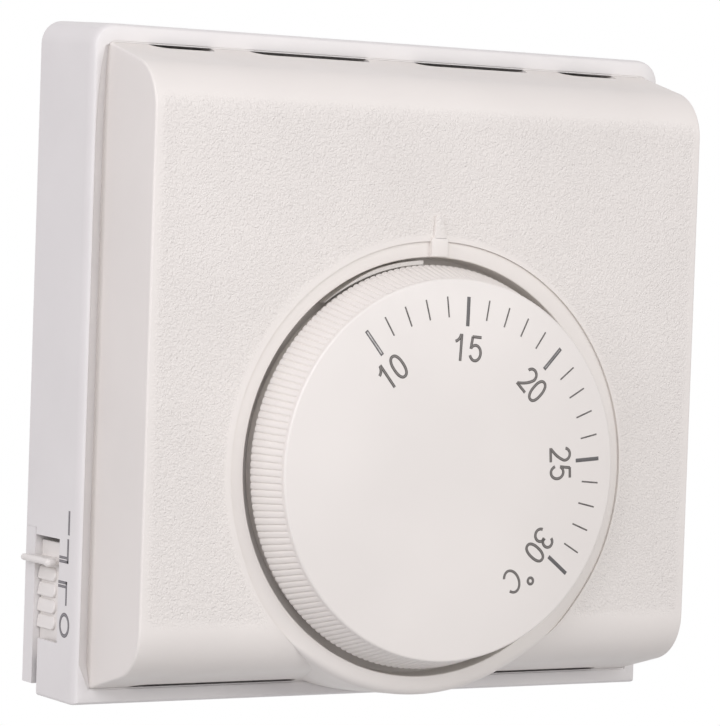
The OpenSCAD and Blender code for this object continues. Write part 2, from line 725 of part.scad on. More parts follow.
// Folded steel frame: base on the wall plate, two legs, front plate with the bush, wing for the switch
module bracket() color("lightsteelblue") translate([0, 0, dial_z]) difference() {
    union() {
        deep(floor_t, floor_t + bracket_t) union() {
            square([bracket_w, 2 * leg_out], center = true);
            translate([-pivot_x - 4, -lug_out]) square([pivot_x + capsule_r + 9.5, 2 * lug_out]);
        }
        for (side = [0, 1]) mirror([0, 0, side]) {
            block(-arm_half, arm_half, floor_t, bracket_front, leg_in, leg_out);
            block(-pivot_x - 3, -pivot_x + 3, floor_t, pivot_depth + 2.4, lug_in, lug_out);
        }
        deep(bracket_front - bracket_t, bracket_front) union() {
            square([bracket_w, 2 * leg_out], center = true);
            translate([0, -wing_half]) square([wing_x + bracket_t, 2 * wing_half]);
        }
        block(wing_x, wing_x + bracket_t, case_back + 0.6, bracket_front, -wing_half, wing_half);
    }
    rod(0, 0, bracket_front - 2, bracket_front + past, spindle_r + 1 + hold_gap);
    for (side = [-1, 1]) {
        rod(0, side * guide_z, bracket_front - 2, bracket_front + past, guide_r + hold_gap);
        across(wing_x - past, wing_x + 2, case_screw_depth, side * case_screw_z, case_screw_r + hold_gap);
    }
    upright(-pivot_x, pivot_depth, -lug_out - past, lug_out + past, pin_r + hold_gap);
    for (x = BRACKET_SCREWS) rod(x, 0, floor_t - past, floor_t + 2, bracket_screw_r + hold_gap);
}

module bracket_screws() color("silver") for (x = BRACKET_SCREWS) difference() {
    union() {
        rod(x, dial_z, capsule_back, capsule_back + 1.5, bracket_head_r);
        rod(x, dial_z, 0.4, capsule_back, bracket_screw_r);
    }
    cross_slot(x, dial_z, capsule_back + 1.5, bracket_head_r);
}

// Two corrugated discs welded at the rim, on a small boss
function capsule_skin(side) = [for (i = [0:wave_steps])
    let (t = i / wave_steps, dip = 0.175 * (1 - cos(360 * capsule_waves * t)))
    [3 + (capsule_r - 4.5) * t, capsule_middle + side * (capsule_t / 2 - dip)]];
module gas_capsule() {
    rim = 0.5;
    front = capsule_skin(1);
    back = [for (p = capsule_skin(-1)) if (p[0] > 4.3) p];
    color("silver") turned(0, dial_z) polygon(concat(
        [[0, capsule_back], [4, capsule_back], [4, back[0][1]]], back,
        [[capsule_r - 1.2, capsule_middle - rim], [capsule_r, capsule_middle - rim],
         [capsule_r, capsule_middle + rim], [capsule_r - 1.2, capsule_middle + rim]],
        [for (i = [wave_steps:-1:0]) front[i]], [[0, capsule_front]]));
}

module capsule_stem() color("darkgoldenrod") turned(0, dial_z)
    polygon([[0, capsule_front + touch], [2.5, capsule_front + touch], [2.5, capsule_front + 0.6],
        [0.8, lever_back - touch - 0.4], [0.8, lever_back - touch], [0, lever_back - touch]]);

module actuating_lever() color("lightgray") translate([0, 0, dial_z]) difference() {
    union() {
        deep(lever_back, lever_front) polygon([[-pivot_x - 2.5, -lever_half], [8, -lever_half],
            [switch_x - 4, -3.2], [switch_x + 3, -3.2], [switch_x + 3, 3.2], [switch_x - 4, 3.2],
            [8, lever_half], [-pivot_x - 2.5, lever_half]]);
        for (side = [0, 1]) mirror([0, 0, side])
            block(-pivot_x - 2.5, -pivot_x + 2.5, lever_back, pivot_depth + 2.2,
                lever_half - 0.5, lever_half + 0.5);
        rod(0, 0, lever_front, lever_front + spigot_h, spigot_r);
    }
    upright(-pivot_x, pivot_depth, -lever_w, lever_w, pin_r + run_gap);
    rod(switch_x, 0, lever_back - past, lever_front + past, trim_r + hold_gap);
}

module lever_pin() color("silver")
    upright(-pivot_x, pivot_depth, dial_z - lug_out - 0.6, dial_z + lug_out + 0.6, pin_r);

module trim_screw() color("goldenrod") difference() {
    union() {
        rod(switch_x, dial_z, lever_back - 1.6, lever_back, 2.0);
        rod(switch_x, dial_z, lever_back, plunger_back - touch, trim_r);
    }
    block(switch_x - 3, switch_x + 3, lever_back - 1.6 - past, lever_back - 0.9, dial_z - 0.3, dial_z + 0.3);
}

module trim_nut() color("goldenrod") difference() {
    translate([switch_x, -lever_front, dial_z]) rotate([90, 0, 0]) cylinder(h = 0.9, r = 2.3, $fn = 6);
    rod(switch_x, dial_z, lever_front - past, lever_front + 2, trim_r + hold_gap);
}

module snap_switch_case() color("black") translate([switch_x, 0, dial_z]) difference() {
    block(-case_w / 2, case_w / 2, case_back, case_front, -case_len / 2, case_len / 2);
    block(-plunger_w / 2 - touch, plunger_w / 2 + touch, case_back - past, plunger_end + 1.4,
        -plunger_h / 2 - touch, plunger_h / 2 + touch);
    for (side = [-1, 1])
        across(-case_w, case_w, case_screw_depth, side * case_screw_z, case_screw_r + hold_gap);
    for (t = SWITCH_TABS) switch_tab(t, 0);
}

module switch_tab(t, out) {
    z0 = case_len / 2 - 1.5;
    z1 = case_len / 2 + out;
    block(-1.4, 1.4, case_back + t[1], case_back + t[1] + strip_t, t[0] > 0 ? z0 : -z1, t[0] > 0 ? z1 : -z0);
}

module snap_switch_plunger() color("firebrick")
    block(switch_x - plunger_w / 2, switch_x + plunger_w / 2, plunger_back, plunger_end,
        dial_z - plunger_h / 2, dial_z + plunger_h / 2);

module snap_switch_tabs() color("gold") translate([switch_x, 0, dial_z])
    for (t = SWITCH_TABS) switch_tab(t, tab_out);

module snap_switch_screws() color("silver") for (side = [-1, 1]) {
    z = dial_z + side * case_screw_z;
    across(switch_x - case_w / 2 - 1.5, switch_x - case_w / 2, case_screw_depth, z, 1.9);
    across(switch_x - case_w / 2, wing_x + bracket_t + 0.8, case_screw_depth, z, case_screw_r);
}

// Actuator in the housing's side: plate behind the wall with a thinner upper end, finger tab, saw-tooth
// grips and inner arm
module mode_slider() color("white") {
    block(slide_out, slide_in, slide_back, slide_front, slide_bottom, slide_step);
    block(slide_in - 0.5, slide_in, slide_back, slide_front, slide_step - joint, slide_top);
    block(-half_w - tab_reach, slide_out + 0.3, slide_back, slide_front - 0.2, tab_bottom, tab_top);
    block(-half_w - tab_reach, -half_w - 0.2, 0.3, slide_front - 0.2, tab_bottom, tab_top);
    for (k = [0:3]) translate([0, 0, grip_first - k * grip_pitch]) grip_rib();
    block(slide_in - 0.2, arm_end, arm_back, arm_back + arm_t, arm_bottom_z, arm_top_z);
    rod(arm_end - 0.2, arm_z, arm_back, arm_back + arm_t, nib_r);
}

// A rib that slopes outwards going down and steps back sharply below
module grip_rib() translate([0, -slide_back, 0]) rotate([90, 0, 0]) linear_extrude(4.4)
    polygon([[slide_out + 0.2, 1.6], [grip_out, 0.35], [grip_out, 0], [slide_out + 0.2, 0]]);

module slide_wiper() color("gold") {
    top = arm_back;
    foot = floor_t + strip_t + touch;
    block(rail_x + 0.2, pad_x + 1.6, top - wiper_t, top, arm_z - 1.4, arm_z + 1.4);
    for (x = [foot_x1, foot_x2]) block(x - 0.5, x + 0.5, foot, top - wiper_t, arm_z - 0.6, arm_z + 0.6);
}

// Common rail, pad of the on position and pad of the automatic position, each with its strip
module fixed_contacts() color("gold") deep(floor_t, floor_t + strip_t) {
    on_z = arm_z + slide_pitch;
    auto_z = arm_z;
    // Common rail up the left side to the terminal block
    translate([rail_x, arm_bottom_z - slide_pitch])
        square([strip_w, block_z + 7 - arm_bottom_z + slide_pitch]);
    translate([rail_x, block_z + 5.5]) square([-block_w / 2 - rail_x - 0.1, strip_w]);
    // On position
    translate([pad_x, on_z - pad_half]) square([on_x - pad_x + strip_w, 2 * pad_half]);
    translate([on_x, on_z - pad_half]) square([strip_w, bracket_top_z + 1.1 + strip_w - on_z + pad_half]);
    translate([on_x, bracket_top_z + 1.1]) square([up_x - on_x + strip_w, strip_w]);
    translate([up_x, bracket_top_z + 1.1]) square([strip_w, block_z - 1.6 - bracket_top_z - 1.1]);
    translate([up_x, block_z - 1.6 - strip_w]) square([6, strip_w]);
    translate([up_x + 4.5, block_z - 1.6 - strip_w]) square([strip_w, strip_w + 1.5]);
    // Automatic position
    translate([pad_x, auto_z - pad_half]) square([on_x - pad_x + strip_w, 2 * pad_half]);
    translate([on_x, low_z]) square([strip_w, auto_z + pad_half - low_z]);
    translate([on_x, low_z]) square([switch_x - on_x + strip_w / 2, strip_w]);
    translate([switch_x - strip_w / 2, low_z]) square([strip_w, dial_z - tab_end - low_z]);
}

// Springy leaf beside the slider's nib, with a dent for each of the three positions
module detent_spring() {
    wave_top = arm_z + 1.5 * slide_pitch;
    near = [for (i = [0:leaf_steps]) let (z = wave_top - 3 * slide_pitch * i / leaf_steps)
        [leaf_x + leaf_wave * cos(360 * (z - arm_z) / slide_pitch), z]];
    near_side = concat([[leaf_flat_x, leaf_top + leaf_half]], near, [[leaf_flat_x, leaf_bottom - leaf_half]]);
    far_side = [for (i = [len(near_side) - 1:-1:0]) near_side[i] + [leaf_t, 0]];
    color("silver") deep(leaf_back, leaf_front) polygon(concat(near_side, far_side));
}
module leaf_post(z) block(leaf_flat_x - 1.1, leaf_flat_x + leaf_t + 1.1, 0, leaf_front,
    z - leaf_half, z + leaf_half);
module leaf_slot() for (z = [leaf_top, leaf_bottom])
    block(leaf_flat_x - 2 * hold_gap, leaf_flat_x + leaf_t + 2 * hold_gap, leaf_back, leaf_front + past,
        z - leaf_half - past, z + leaf_half + past);

function way_x(k) = (k - (ways - 1) / 2) * way_pitch;

module terminal_block() color("whitesmoke") difference() {
    block(-block_w / 2, block_w / 2, block_back, block_front, block_z, block_z + block_h);
    for (k = [0:ways - 1]) translate([way_x(k), 0, 0]) {
        block(-clamp_w / 2 - 0.1, clamp_w / 2 + 0.1, clamp_back, clamp_back + clamp_h + 0.5,
            clamp_z - 0.2, clamp_z + clamp_len + 0.2);
        block(-2, 2, clamp_back + 0.6, clamp_back + 4.6, block_z - past, clamp_z);
        rod(0, clamp_z + clamp_len / 2, clamp_back, block_front + past, term_head_r + 0.3);
    }
}

module terminal_clamps() color("gold") for (k = [0:ways - 1]) translate([way_x(k), 0, 0]) difference() {
    block(-clamp_w / 2, clamp_w / 2, clamp_back, clamp_back + clamp_h, clamp_z, clamp_z + clamp_len);
    block(-wire_hole / 2, wire_hole / 2, clamp_back + 0.9, clamp_back + 0.9 + wire_hole,
        clamp_z - past, clamp_z + clamp_len + past);
    rod(0, clamp_z + clamp_len / 2, clamp_back + 2, clamp_back + clamp_h + past, term_screw_r + hold_gap);
}

module terminal_screws() color("silver") for (k = [0:ways - 1]) {
    x = way_x(k);
    z = clamp_z + clamp_len / 2;
    head = clamp_back + clamp_h + 0.9;
    difference() {
        union() {
            rod(x, z, clamp_back + 2.8, head, term_screw_r);
            rod(x, z, head, head + 2.2, term_head_r);
        }
        block(x - 3, x + 3, head + 1.2, head + 4, z - 0.35, z + 0.35);
    }
}

// Strips on the floor: snap switch to the block, and the resistor's far end to the block
module link_strips() color("gold") {
    right = block_w / 2 + 0.1;
    deep(floor_t, floor_t + strip_t) {
        translate([switch_x - strip_w / 2, dial_z + tab_end])
            square([strip_w, block_z + 4 - dial_z - tab_end]);
        translate([right, block_z + 2.5]) square([switch_x + strip_w / 2 - right, strip_w]);
        translate([resistor_x - 1, resistor_z1 - 0.7]) square([far_x - resistor_x + 1 + strip_w, 1.4]);
        translate([far_x, resistor_z1 - 0.7]) square([strip_w, block_z + 8.5 - resistor_z1 + 0.7]);
        translate([right, block_z + 7]) square([far_x - right + strip_w, strip_w]);
    }
    translate([switch_x, 0, dial_z]) {
        riser(floor_t, tab_end);
        riser(floor_t + strip_t, -tab_end - strip_t);
    }
}
module riser(d, z) block(-strip_w / 2, strip_w / 2, d, case_back + 2.4, z, z + strip_t);

// Small heater resistor standing on its two bent leads
module heater_resistor() color("peru") {
    middle = (resistor_z0 + resistor_z1) / 2;
    upright(resistor_x, resistor_depth, middle - 4, middle + 4, 1.6);
    upright(resistor_x, resistor_depth, resistor_z0 - 0.35, resistor_z1 + 0.35, 0.35);
    for (z = [resistor_z0, resistor_z1]) rod(resistor_x, z, floor_t + strip_t, resistor_depth + 0.35, 0.35);
}

wall_plate();
housing();
housing_screws();
front_cover();
cover_screw();
setting_dial();
range_pins();
dial_spindle();
spindle_bush();
spindle_clip();
spring_seat();
guide_pins();
range_spring();
bracket();
bracket_screws();
gas_capsule();
capsule_stem();
actuating_lever();
lever_pin();
trim_screw();
trim_nut();
snap_switch_case();
snap_switch_plunger();
snap_switch_tabs();
snap_switch_screws();
mode_slider();
slide_wiper();
fixed_contacts();
detent_spring();
terminal_block();
terminal_clamps();
terminal_screws();
link_strips();
heater_resistor();
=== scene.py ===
import json
import math
import bpy
import numpy as np
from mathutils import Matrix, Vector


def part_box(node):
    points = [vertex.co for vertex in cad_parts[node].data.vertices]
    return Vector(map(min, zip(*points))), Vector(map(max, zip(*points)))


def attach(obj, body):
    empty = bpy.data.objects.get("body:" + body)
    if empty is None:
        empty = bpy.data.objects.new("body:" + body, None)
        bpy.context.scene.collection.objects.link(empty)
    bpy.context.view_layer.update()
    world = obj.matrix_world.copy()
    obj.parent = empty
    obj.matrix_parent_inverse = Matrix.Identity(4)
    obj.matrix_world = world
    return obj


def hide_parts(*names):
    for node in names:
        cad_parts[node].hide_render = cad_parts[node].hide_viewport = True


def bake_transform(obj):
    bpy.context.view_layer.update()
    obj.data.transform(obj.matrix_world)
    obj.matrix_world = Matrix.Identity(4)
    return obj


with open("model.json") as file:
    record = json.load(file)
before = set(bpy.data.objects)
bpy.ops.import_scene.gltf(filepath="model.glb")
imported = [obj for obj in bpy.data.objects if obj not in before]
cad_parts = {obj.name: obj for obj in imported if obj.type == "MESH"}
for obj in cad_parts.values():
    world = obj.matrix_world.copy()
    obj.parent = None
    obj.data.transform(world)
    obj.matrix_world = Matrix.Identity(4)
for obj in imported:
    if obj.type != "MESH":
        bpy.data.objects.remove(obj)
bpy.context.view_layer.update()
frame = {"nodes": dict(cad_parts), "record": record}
print("frame loaded:", len(frame["nodes"]), "nodes")

# A wall thermostat. Points are worked out in millimetres as (x, depth in front of the wall, z),
# and the meshes hold metres with the front towards -Y.
mm = 0.001
join = np.concatenate


def nodeBox(node):  # lowest and highest x, depth and z of a CAD node, in mm
    low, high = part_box(node)
    return {"x0": low.x / mm, "x1": high.x / mm, "d0": -high.y / mm, "d1": -low.y / mm,
            "z0": low.z / mm, "z1": high.z / mm}


housingBox, coverBox, dialBox, sliderBox = (
    nodeBox(node) for node in ("housing", "front_cover", "setting_dial", "mode_slider"))
halfHousing = housingBox["x1"]
rimDepth = housingBox["d1"]
dialZ = (dialBox["z0"] + dialBox["z1"]) / 2
dialR = dialBox["x1"]
faceDepth = coverBox["d1"] - 0.4       # the pointer stands 0.4 mm in front of the cover's face


def gridQuads(rows, cols, closed=False):  # four corner numbers for each cell of a rows by cols grid
    j = np.arange(cols if closed else cols - 1)
    i = np.arange(rows - 1)[:, None]
    k = (j + 1) % cols
    return np.stack([i * cols + j, i * cols + k, (i + 1) * cols + k, (i + 1) * cols + j], -1).reshape(-1, 4)


def blockBorder(i0, i1, j0, j1, cols):  # point numbers all round a block of a grid
    i, j = np.arange(i0, i1 + 1), np.arange(j0, j1 + 1)
    return join([i[:-1] * cols + j0, i1 * cols + j[:-1], i[:0:-1] * cols + j1, i0 * cols + j[:0:-1]])


def polar(r, d, a, x=0.0, z=dialZ):  # points about an axis: radius r, depth d, angle a clockwise from the top
    return np.stack([x + r * np.sin(a), d + 0 * r * a, z + r * np.cos(a)], -1)


def fullTurn(count):  # angles all round, without the last one
    return np.linspace(0, 2 * np.pi, count, endpoint=False)


def quarter(steps):  # 1 - cos and 1 - sin along a quarter turn
    a = np.linspace(0, np.pi / 2, steps)
    return zip(1 - np.cos(a), 1 - np.sin(a))


def weld(points, quads):  # points closer than a hundred-thousandth of a millimetre become one
    _, first, back = np.unique(np.round(points, 5), axis=0, return_index=True, return_inverse=True)
    return points[first], back.reshape(-1)[quads]


def outward(points, quads):  # six times the enclosed volume is the sum of a . (b x c); its sign turns the faces
    a, b, c, d = (points[quads[:, n]] for n in range(4))
    volume = (a * np.cross(b, c)).sum() + (a * np.cross(c, d)).sum()
    return quads if volume < 0 else quads[:, ::-1]  # depth runs against Y, so the sign is swapped


def solid(points, quads):  # one closed island, welded and facing out
    points, quads = weld(np.asarray(points, float).reshape(-1, 3), quads)
    return points, outward(points, quads)


def loft(rings):  # rings of one size joined one after the other, with a fan on each end
    rings = np.asarray(rings, float)
    rows, cols = rings.shape[:2]
    ends = rings[[0, -1]].mean(1)
    j = np.arange(cols)
    k = (j + 1) % cols
    last = (rows - 1) * cols
    tip = j * 0 + rows * cols
    cap0 = np.stack([k, j, tip, tip], -1)
    cap1 = np.stack([last + j, last + k, tip + 1, tip + 1], -1)
    return solid(join([rings.reshape(-1, 3), ends]), join([gridQuads(rows, cols, True), cap0, cap1]))


def torus(rings):  # closed rings joined one after the other, the last one to the first
    rings = np.asarray(rings, float)
    rings = join([rings, rings[:1]])
    return solid(rings, gridQuads(*rings.shape[:2], True))


def lathe(profile, x, z, count):  # a closed profile of (radius, depth) turned about an axis along the depth
    profile = np.asarray(profile, float)
    a = fullTurn(count)[:, None]
    return torus(polar(profile[:, 0], profile[:, 1], a, x, z))


def tube(low, high, back, front, x, z, count):  # a ring with a square section
    return lathe([(low, back), (high, back), (high, front), (low, front)], x, z, count)


def shell(outer, inner, quads):  # two matched sheets, closed along every edge that only one cell uses
    used = np.unique(quads)
    number = np.zeros(len(outer), int)
    number[used] = np.arange(len(used))
    quads = number[quads]
    edges = np.stack([quads, np.roll(quads, -1, 1)], -1).reshape(-1, 2)
    edges = edges[edges[:, 0] != edges[:, 1]]
    _, which, uses = np.unique(np.sort(edges, 1), axis=0, return_inverse=True, return_counts=True)
    rim = edges[uses[which.reshape(-1)] == 1]
    n = len(used)
    wall = np.stack([rim[:, 1], rim[:, 0], rim[:, 0] + n, rim[:, 1] + n], -1)
    return solid(join([outer[used], inner[used]]), join([quads, quads[:, ::-1] + n, wall]))


def roundedBox(x0, x1, d0, d1, z0, z1, r, steps=4):  # a box whose corners are eighths of a sphere of radius r
    middle = np.array([x0 + x1, d0 + d1, z0 + z1]) / 2
    half = np.array([x1 - x0, d1 - d0, z1 - z0]) / 2
    r = min(r, half.min() * 0.999)
    arc = np.linspace(0, np.pi / 2, steps + 1)
    turn = join([arc + n * np.pi / 2 for n in range(4)])
    sideX = np.repeat([1, -1, -1, 1], steps + 1)
    sideD = np.repeat([1, 1, -1, -1], steps + 1)
    rise = join([arc - np.pi / 2, arc])[:, None]
    sideZ = np.repeat([-1, 1], steps + 1)[:, None]
    x = sideX * (half[0] - r) + r * np.cos(rise) * np.cos(turn)
    d = sideD * (half[1] - r) + r * np.cos(rise) * np.sin(turn)
    z = sideZ * (half[2] - r) + r * np.sin(rise) + 0 * x
    return loft(np.stack([x, d, z], -1) + middle)


def arcBar(low, high, back, front, start, end, steps=40):
    # a bar along an arc about the dial's axis, from one angle to another in degrees clockwise from the top
    turn = np.radians(np.linspace(start, end, steps))[:, None]
    r = join([low + 0 * turn, high + 0 * turn, high + 0 * turn, low + 0 * turn], 1)
    d = np.array([back, back, front, front]) + 0 * r
    return loft(polar(r, d, turn))


def raised(outline, d0, d1, r, steps=4):  # an outline in (x, z) pushed out, its front edge rounded by r
    outline = np.asarray(outline, float)
    away = outline - outline.mean(0)
    away /= np.linalg.norm(away, axis=1)[:, None]
    turn = np.linspace(0, np.pi / 2, steps + 1)
    inset = join([[0], r * (1 - np.cos(turn))])
    depth = join([[d0], d1 - r + r * np.sin(turn)])
    rings = outline - away * inset[:, None, None]
    return loft(np.stack([rings[..., 0], depth[:, None] + 0 * rings[..., 0], rings[..., 1]], -1))


def piece(name, islands, body, material, replaced=(), sharp=35, values=None):
    # one object made of closed islands, with its place in its mesh
    points = join([island[0] for island in islands])
    starts = np.cumsum([0] + [len(island[0]) for island in islands])
    quads = join([island[1] + start for island, start in zip(islands, starts)])
    kept = quads != np.roll(quads, -1, 1)        # a triangle is a quad with one corner twice
    quads, kept = quads[kept.sum(1) > 2], kept[kept.sum(1) > 2]
    loops, sizes = quads[kept], kept.sum(1)
    mesh = bpy.data.meshes.new(name)
    mesh.vertices.add(len(points))
    mesh.vertices.foreach_set("co", (points * [mm, -mm, mm]).ravel())
    mesh.loops.add(len(loops))
    mesh.loops.foreach_set("vertex_index", loops.astype(np.int32))
    mesh.polygons.add(len(sizes))
    mesh.polygons.foreach_set("loop_start", (np.cumsum(sizes) - sizes).astype(np.int32))
    for key, function in (values or {}).items():  # numbers that the material reads, one for each point
        layer = mesh.attributes.new(key, "FLOAT", "POINT")
        layer.data.foreach_set("value", np.asarray(function(points), np.float32))
    mesh.update(calc_edges=True)
    mesh.validate()
    mesh.shade_smooth()
    mesh.set_sharp_from_angle(angle=math.radians(sharp))
    obj = bpy.data.objects.new(name, mesh)
    bpy.context.scene.collection.objects.link(obj)
    mesh.materials.append(material)
    if body:
        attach(obj, body)
    if replaced:
        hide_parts(*replaced)
    print("piece", name, len(points), "points")
    return obj


def smooth(x, a, b):  # 0 below a, 1 above b, 3t^2 - 2t^3 between
    t = np.clip((x - a) / (b - a), 0, 1)
    return t * t * (3 - 2 * t)


def newMaterial(name, colour, rough, metallic=0.0):
    material = bpy.data.materials.new(name)
    material.use_nodes = True
    shader = material.node_tree.nodes["Principled BSDF"]
    shader.inputs["Base Color"].default_value = (*colour, 1)
    shader.inputs["Roughness"].default_value = rough
    shader.inputs["Metallic"].default_value = metallic
    return material, material.node_tree, shader


def newNode(tree, kind, inputs, operation=None):
    # a shader node; an input is a number, a colour or another node's output
    node = tree.nodes.new("ShaderNode" + kind)
    if operation:
        node.operation = operation
    for key, value in inputs.items():
        if isinstance(value, bpy.types.NodeSocket):
            tree.links.new(value, node.inputs[key])
        else:
            node.inputs[key].default_value = value
    return node


def stored(tree, key):  # a number that the mesh holds for each point
    node = newNode(tree, "Attribute", {})
    node.attribute_name = key
    return node.outputs["Fac"]


def noise(tree, size, detail):  # clouds whose spots are about size millimetres wide
    place = newNode(tree, "TexCoord", {}).outputs["Object"]
    cloud = newNode(tree, "TexNoise", {"Vector": place, "Scale": 1 / (size * mm), "Detail": detail})
    return cloud.outputs["Fac"]


def ramp(tree, source, stops):  # source runs from one colour or grey to another between two places
    node = newNode(tree, "ValToRGB", {"Fac": source})
    for element, (place, colour) in zip(node.color_ramp.elements, stops):
        element.position = place
        element.color = (*np.broadcast_to(colour, 3), 1)
    return node.outputs["Color"]


def drift(tree, shader, key, source, stops):  # an input of the shader that changes over the surface with source
    tree.links.new(ramp(tree, source, stops), shader.inputs[key])


def shade(colour, change):  # lighter by a share of itself, or darker where the change is negative
    return tuple(min(1, c * (1 + change)) for c in colour)


def bump(tree, shader, height, strength, distance, mask=None):  # relief of distance millimetres
    if mask is not None:
        strength = newNode(tree, "Math", {0: mask, 1: strength}, "MULTIPLY").outputs[0]
    node = newNode(tree, "Bump", {"Strength": strength, "Distance": distance * mm, "Height": height})
    below = shader.inputs["Normal"].links
    if below:
        tree.links.new(below[0].from_socket, node.inputs["Normal"])
    tree.links.new(node.outputs["Normal"], shader.inputs["Normal"])


def mouldedPlastic(name, colour, rough, change=0.02, grain=0.004):
    # injection-moulded plastic: faint cloudy colour, uneven gloss and a very fine skin
    material, tree, shader = newMaterial(name, colour, rough)
    drift(tree, shader, "Base Color", noise(tree, 22, 2),
          [(0.35, shade(colour, -change)), (0.65, shade(colour, change))])
    drift(tree, shader, "Roughness", noise(tree, 3.5, 3), [(0.3, rough * 0.9), (0.7, rough * 1.12)])
    bump(tree, shader, noise(tree, 0.25, 4), 0.5, grain)
    return material


def grainedPlastic(name, colour, rough, grainSettings):
    # the cover's front: a spark-eroded grain of small pits, only where the mesh says "grain"
    material = mouldedPlastic(name, colour, rough)
    tree = material.node_tree
    shader = tree.nodes["Principled BSDF"]
    mask = stored(tree, "grain")
    for size, share in grainSettings["layers"]:
        cloud = ramp(tree, noise(tree, size, 2), [(0.32, 0.0), (0.68, 1.0)])
        bump(tree, shader, cloud, share, grainSettings["depth"], mask)
    return material


def platedMetal(name, colour, rough, size):
    # sheet or turned metal: a cloudy gloss, with a slight change of colour
    material, tree, shader = newMaterial(name, colour, rough, 1.0)
    drift(tree, shader, "Base Color", noise(tree, size * 6, 3),
          [(0.3, shade(colour, -0.06)), (0.7, shade(colour, 0.06))])
    drift(tree, shader, "Roughness", noise(tree, size, 4), [(0.3, rough * 0.75), (0.7, rough * 1.35)])
    bump(tree, shader, noise(tree, size * 0.6, 3), 0.3, 0.004)
    return material


tones = {
    "cover": (0.76, 0.725, 0.685),
    "housing": (0.735, 0.715, 0.70),
    "dial": (0.77, 0.735, 0.695),
    "slider": (0.765, 0.735, 0.70),
}
grain = {"depth": 0.07, "layers": [(0.42, 0.65), (0.26, 0.9)]}
coverPlastic = grainedPlastic("coverPlastic", tones["cover"], 0.46, grain)
housingPlastic = mouldedPlastic("housingPlastic", tones["housing"], 0.44)
dialPlastic = mouldedPlastic("dialPlastic", tones["dial"], 0.37, grain=0.003)
sliderPlastic = mouldedPlastic("sliderPlastic", tones["slider"], 0.38)
springSteel = platedMetal("springSteel", (0.45, 0.45, 0.47), 0.28, 0.3)
cadFinish = {
    "housing_plastic": housingPlastic,
    "cover_plastic": coverPlastic,
    "seat_plastic": mouldedPlastic("seatPlastic", (0.72, 0.62, 0.42), 0.35, 0.05),
    "switch_plastic": mouldedPlastic("switchPlastic", (0.03, 0.03, 0.035), 0.42, 0.15),
    "plunger_plastic": mouldedPlastic("plungerPlastic", (0.5, 0.05, 0.04), 0.35, 0.08),
    "terminal_plastic": mouldedPlastic("terminalPlastic", (0.80, 0.80, 0.78), 0.33, 0.03),
    "resistor_lacquer": mouldedPlastic("resistorLacquer", (0.42, 0.27, 0.16), 0.30, 0.08),
    "zinc_steel": platedMetal("zincSteel", (0.62, 0.63, 0.65), 0.30, 0.8),
    "spring_steel": springSteel,
    "brass": platedMetal("brass", (0.78, 0.58, 0.26), 0.27, 0.6),
    "capsule_bronze": platedMetal("capsuleBronze", (0.70, 0.50, 0.31), 0.30, 0.5),
}


def hotStamp(name, edgeColour, coreColour):
    # stamped print: dark at the edges of a stroke, paler and streaky along its middle
    material, tree, shader = newMaterial(name, edgeColour, 0.42)
    streaks = newNode(tree, "Math", {0: noise(tree, 0.25, 3), 1: 0.35, 2: stored(tree, "across")},
                      "MULTIPLY_ADD").outputs[0]
    drift(tree, shader, "Base Color", streaks, [(0.30, coreColour), (0.72, edgeColour)])
    bump(tree, shader, noise(tree, 0.12, 3), 0.4, 0.01)
    return material


dialInk = hotStamp("dialInk", (0.072, 0.064, 0.060), (0.20, 0.185, 0.17))
paleInk = hotStamp("paleInk", (0.10, 0.095, 0.095), (0.62, 0.60, 0.58))
sideInk = hotStamp("sideInk", (0.12, 0.11, 0.12), (0.22, 0.21, 0.22))

for row in frame["record"]["subparts"]:          # the CAD's own pieces keep their shape
    node = frame["nodes"][row["node"]]
    node.data.materials.clear()
    node.data.materials.append(cadFinish[row["material_slot"]])
    node.data.polygons.foreach_set("material_index", np.zeros(len(node.data.polygons), np.int32))
print("materials made")


housing = {
    "upperCorner": 3.0, "lowerCorner": 0.45, "wall": 2.0, "topWall": 0.25, "seat": 0.17,
    "rimWidth": 0.55, "rimBack": 1.9, "edgeRound": 0.22, "seam": 0.06,
    "ledgeWidth": 2.2, "ledgeFront": 12.0, "ledgeBack": 10.5, "hookLedge": (20.9, 26.1),
    "channelGap": 0.4, "channelWidth": 1.35, "channelOut": 0.55, "channelIn": 1.2, "channelTaper": 15.5,
    "channelSlant": 0.3, "windowTop": -22.2, "windowBottom": -35.4, "windowDepth": 10.0,
    "stripTop": -21.28, "stripCut": 2.95, "lowerCut": 4.3, "thinWall": 0.4, "pocketTop": -19.8,
    "screwPlaces": [(-35.75, 35.75), (35.75, 35.75), (35.75, -35.75)], "gusset": 6.4, "upperGusset": 4.0,
    "screwHole": 1.6, "gussetFrom": 2.4, "gussetTo": 41.0, "gussetHalf": 3.0, "riseFrom": 25.0,
}


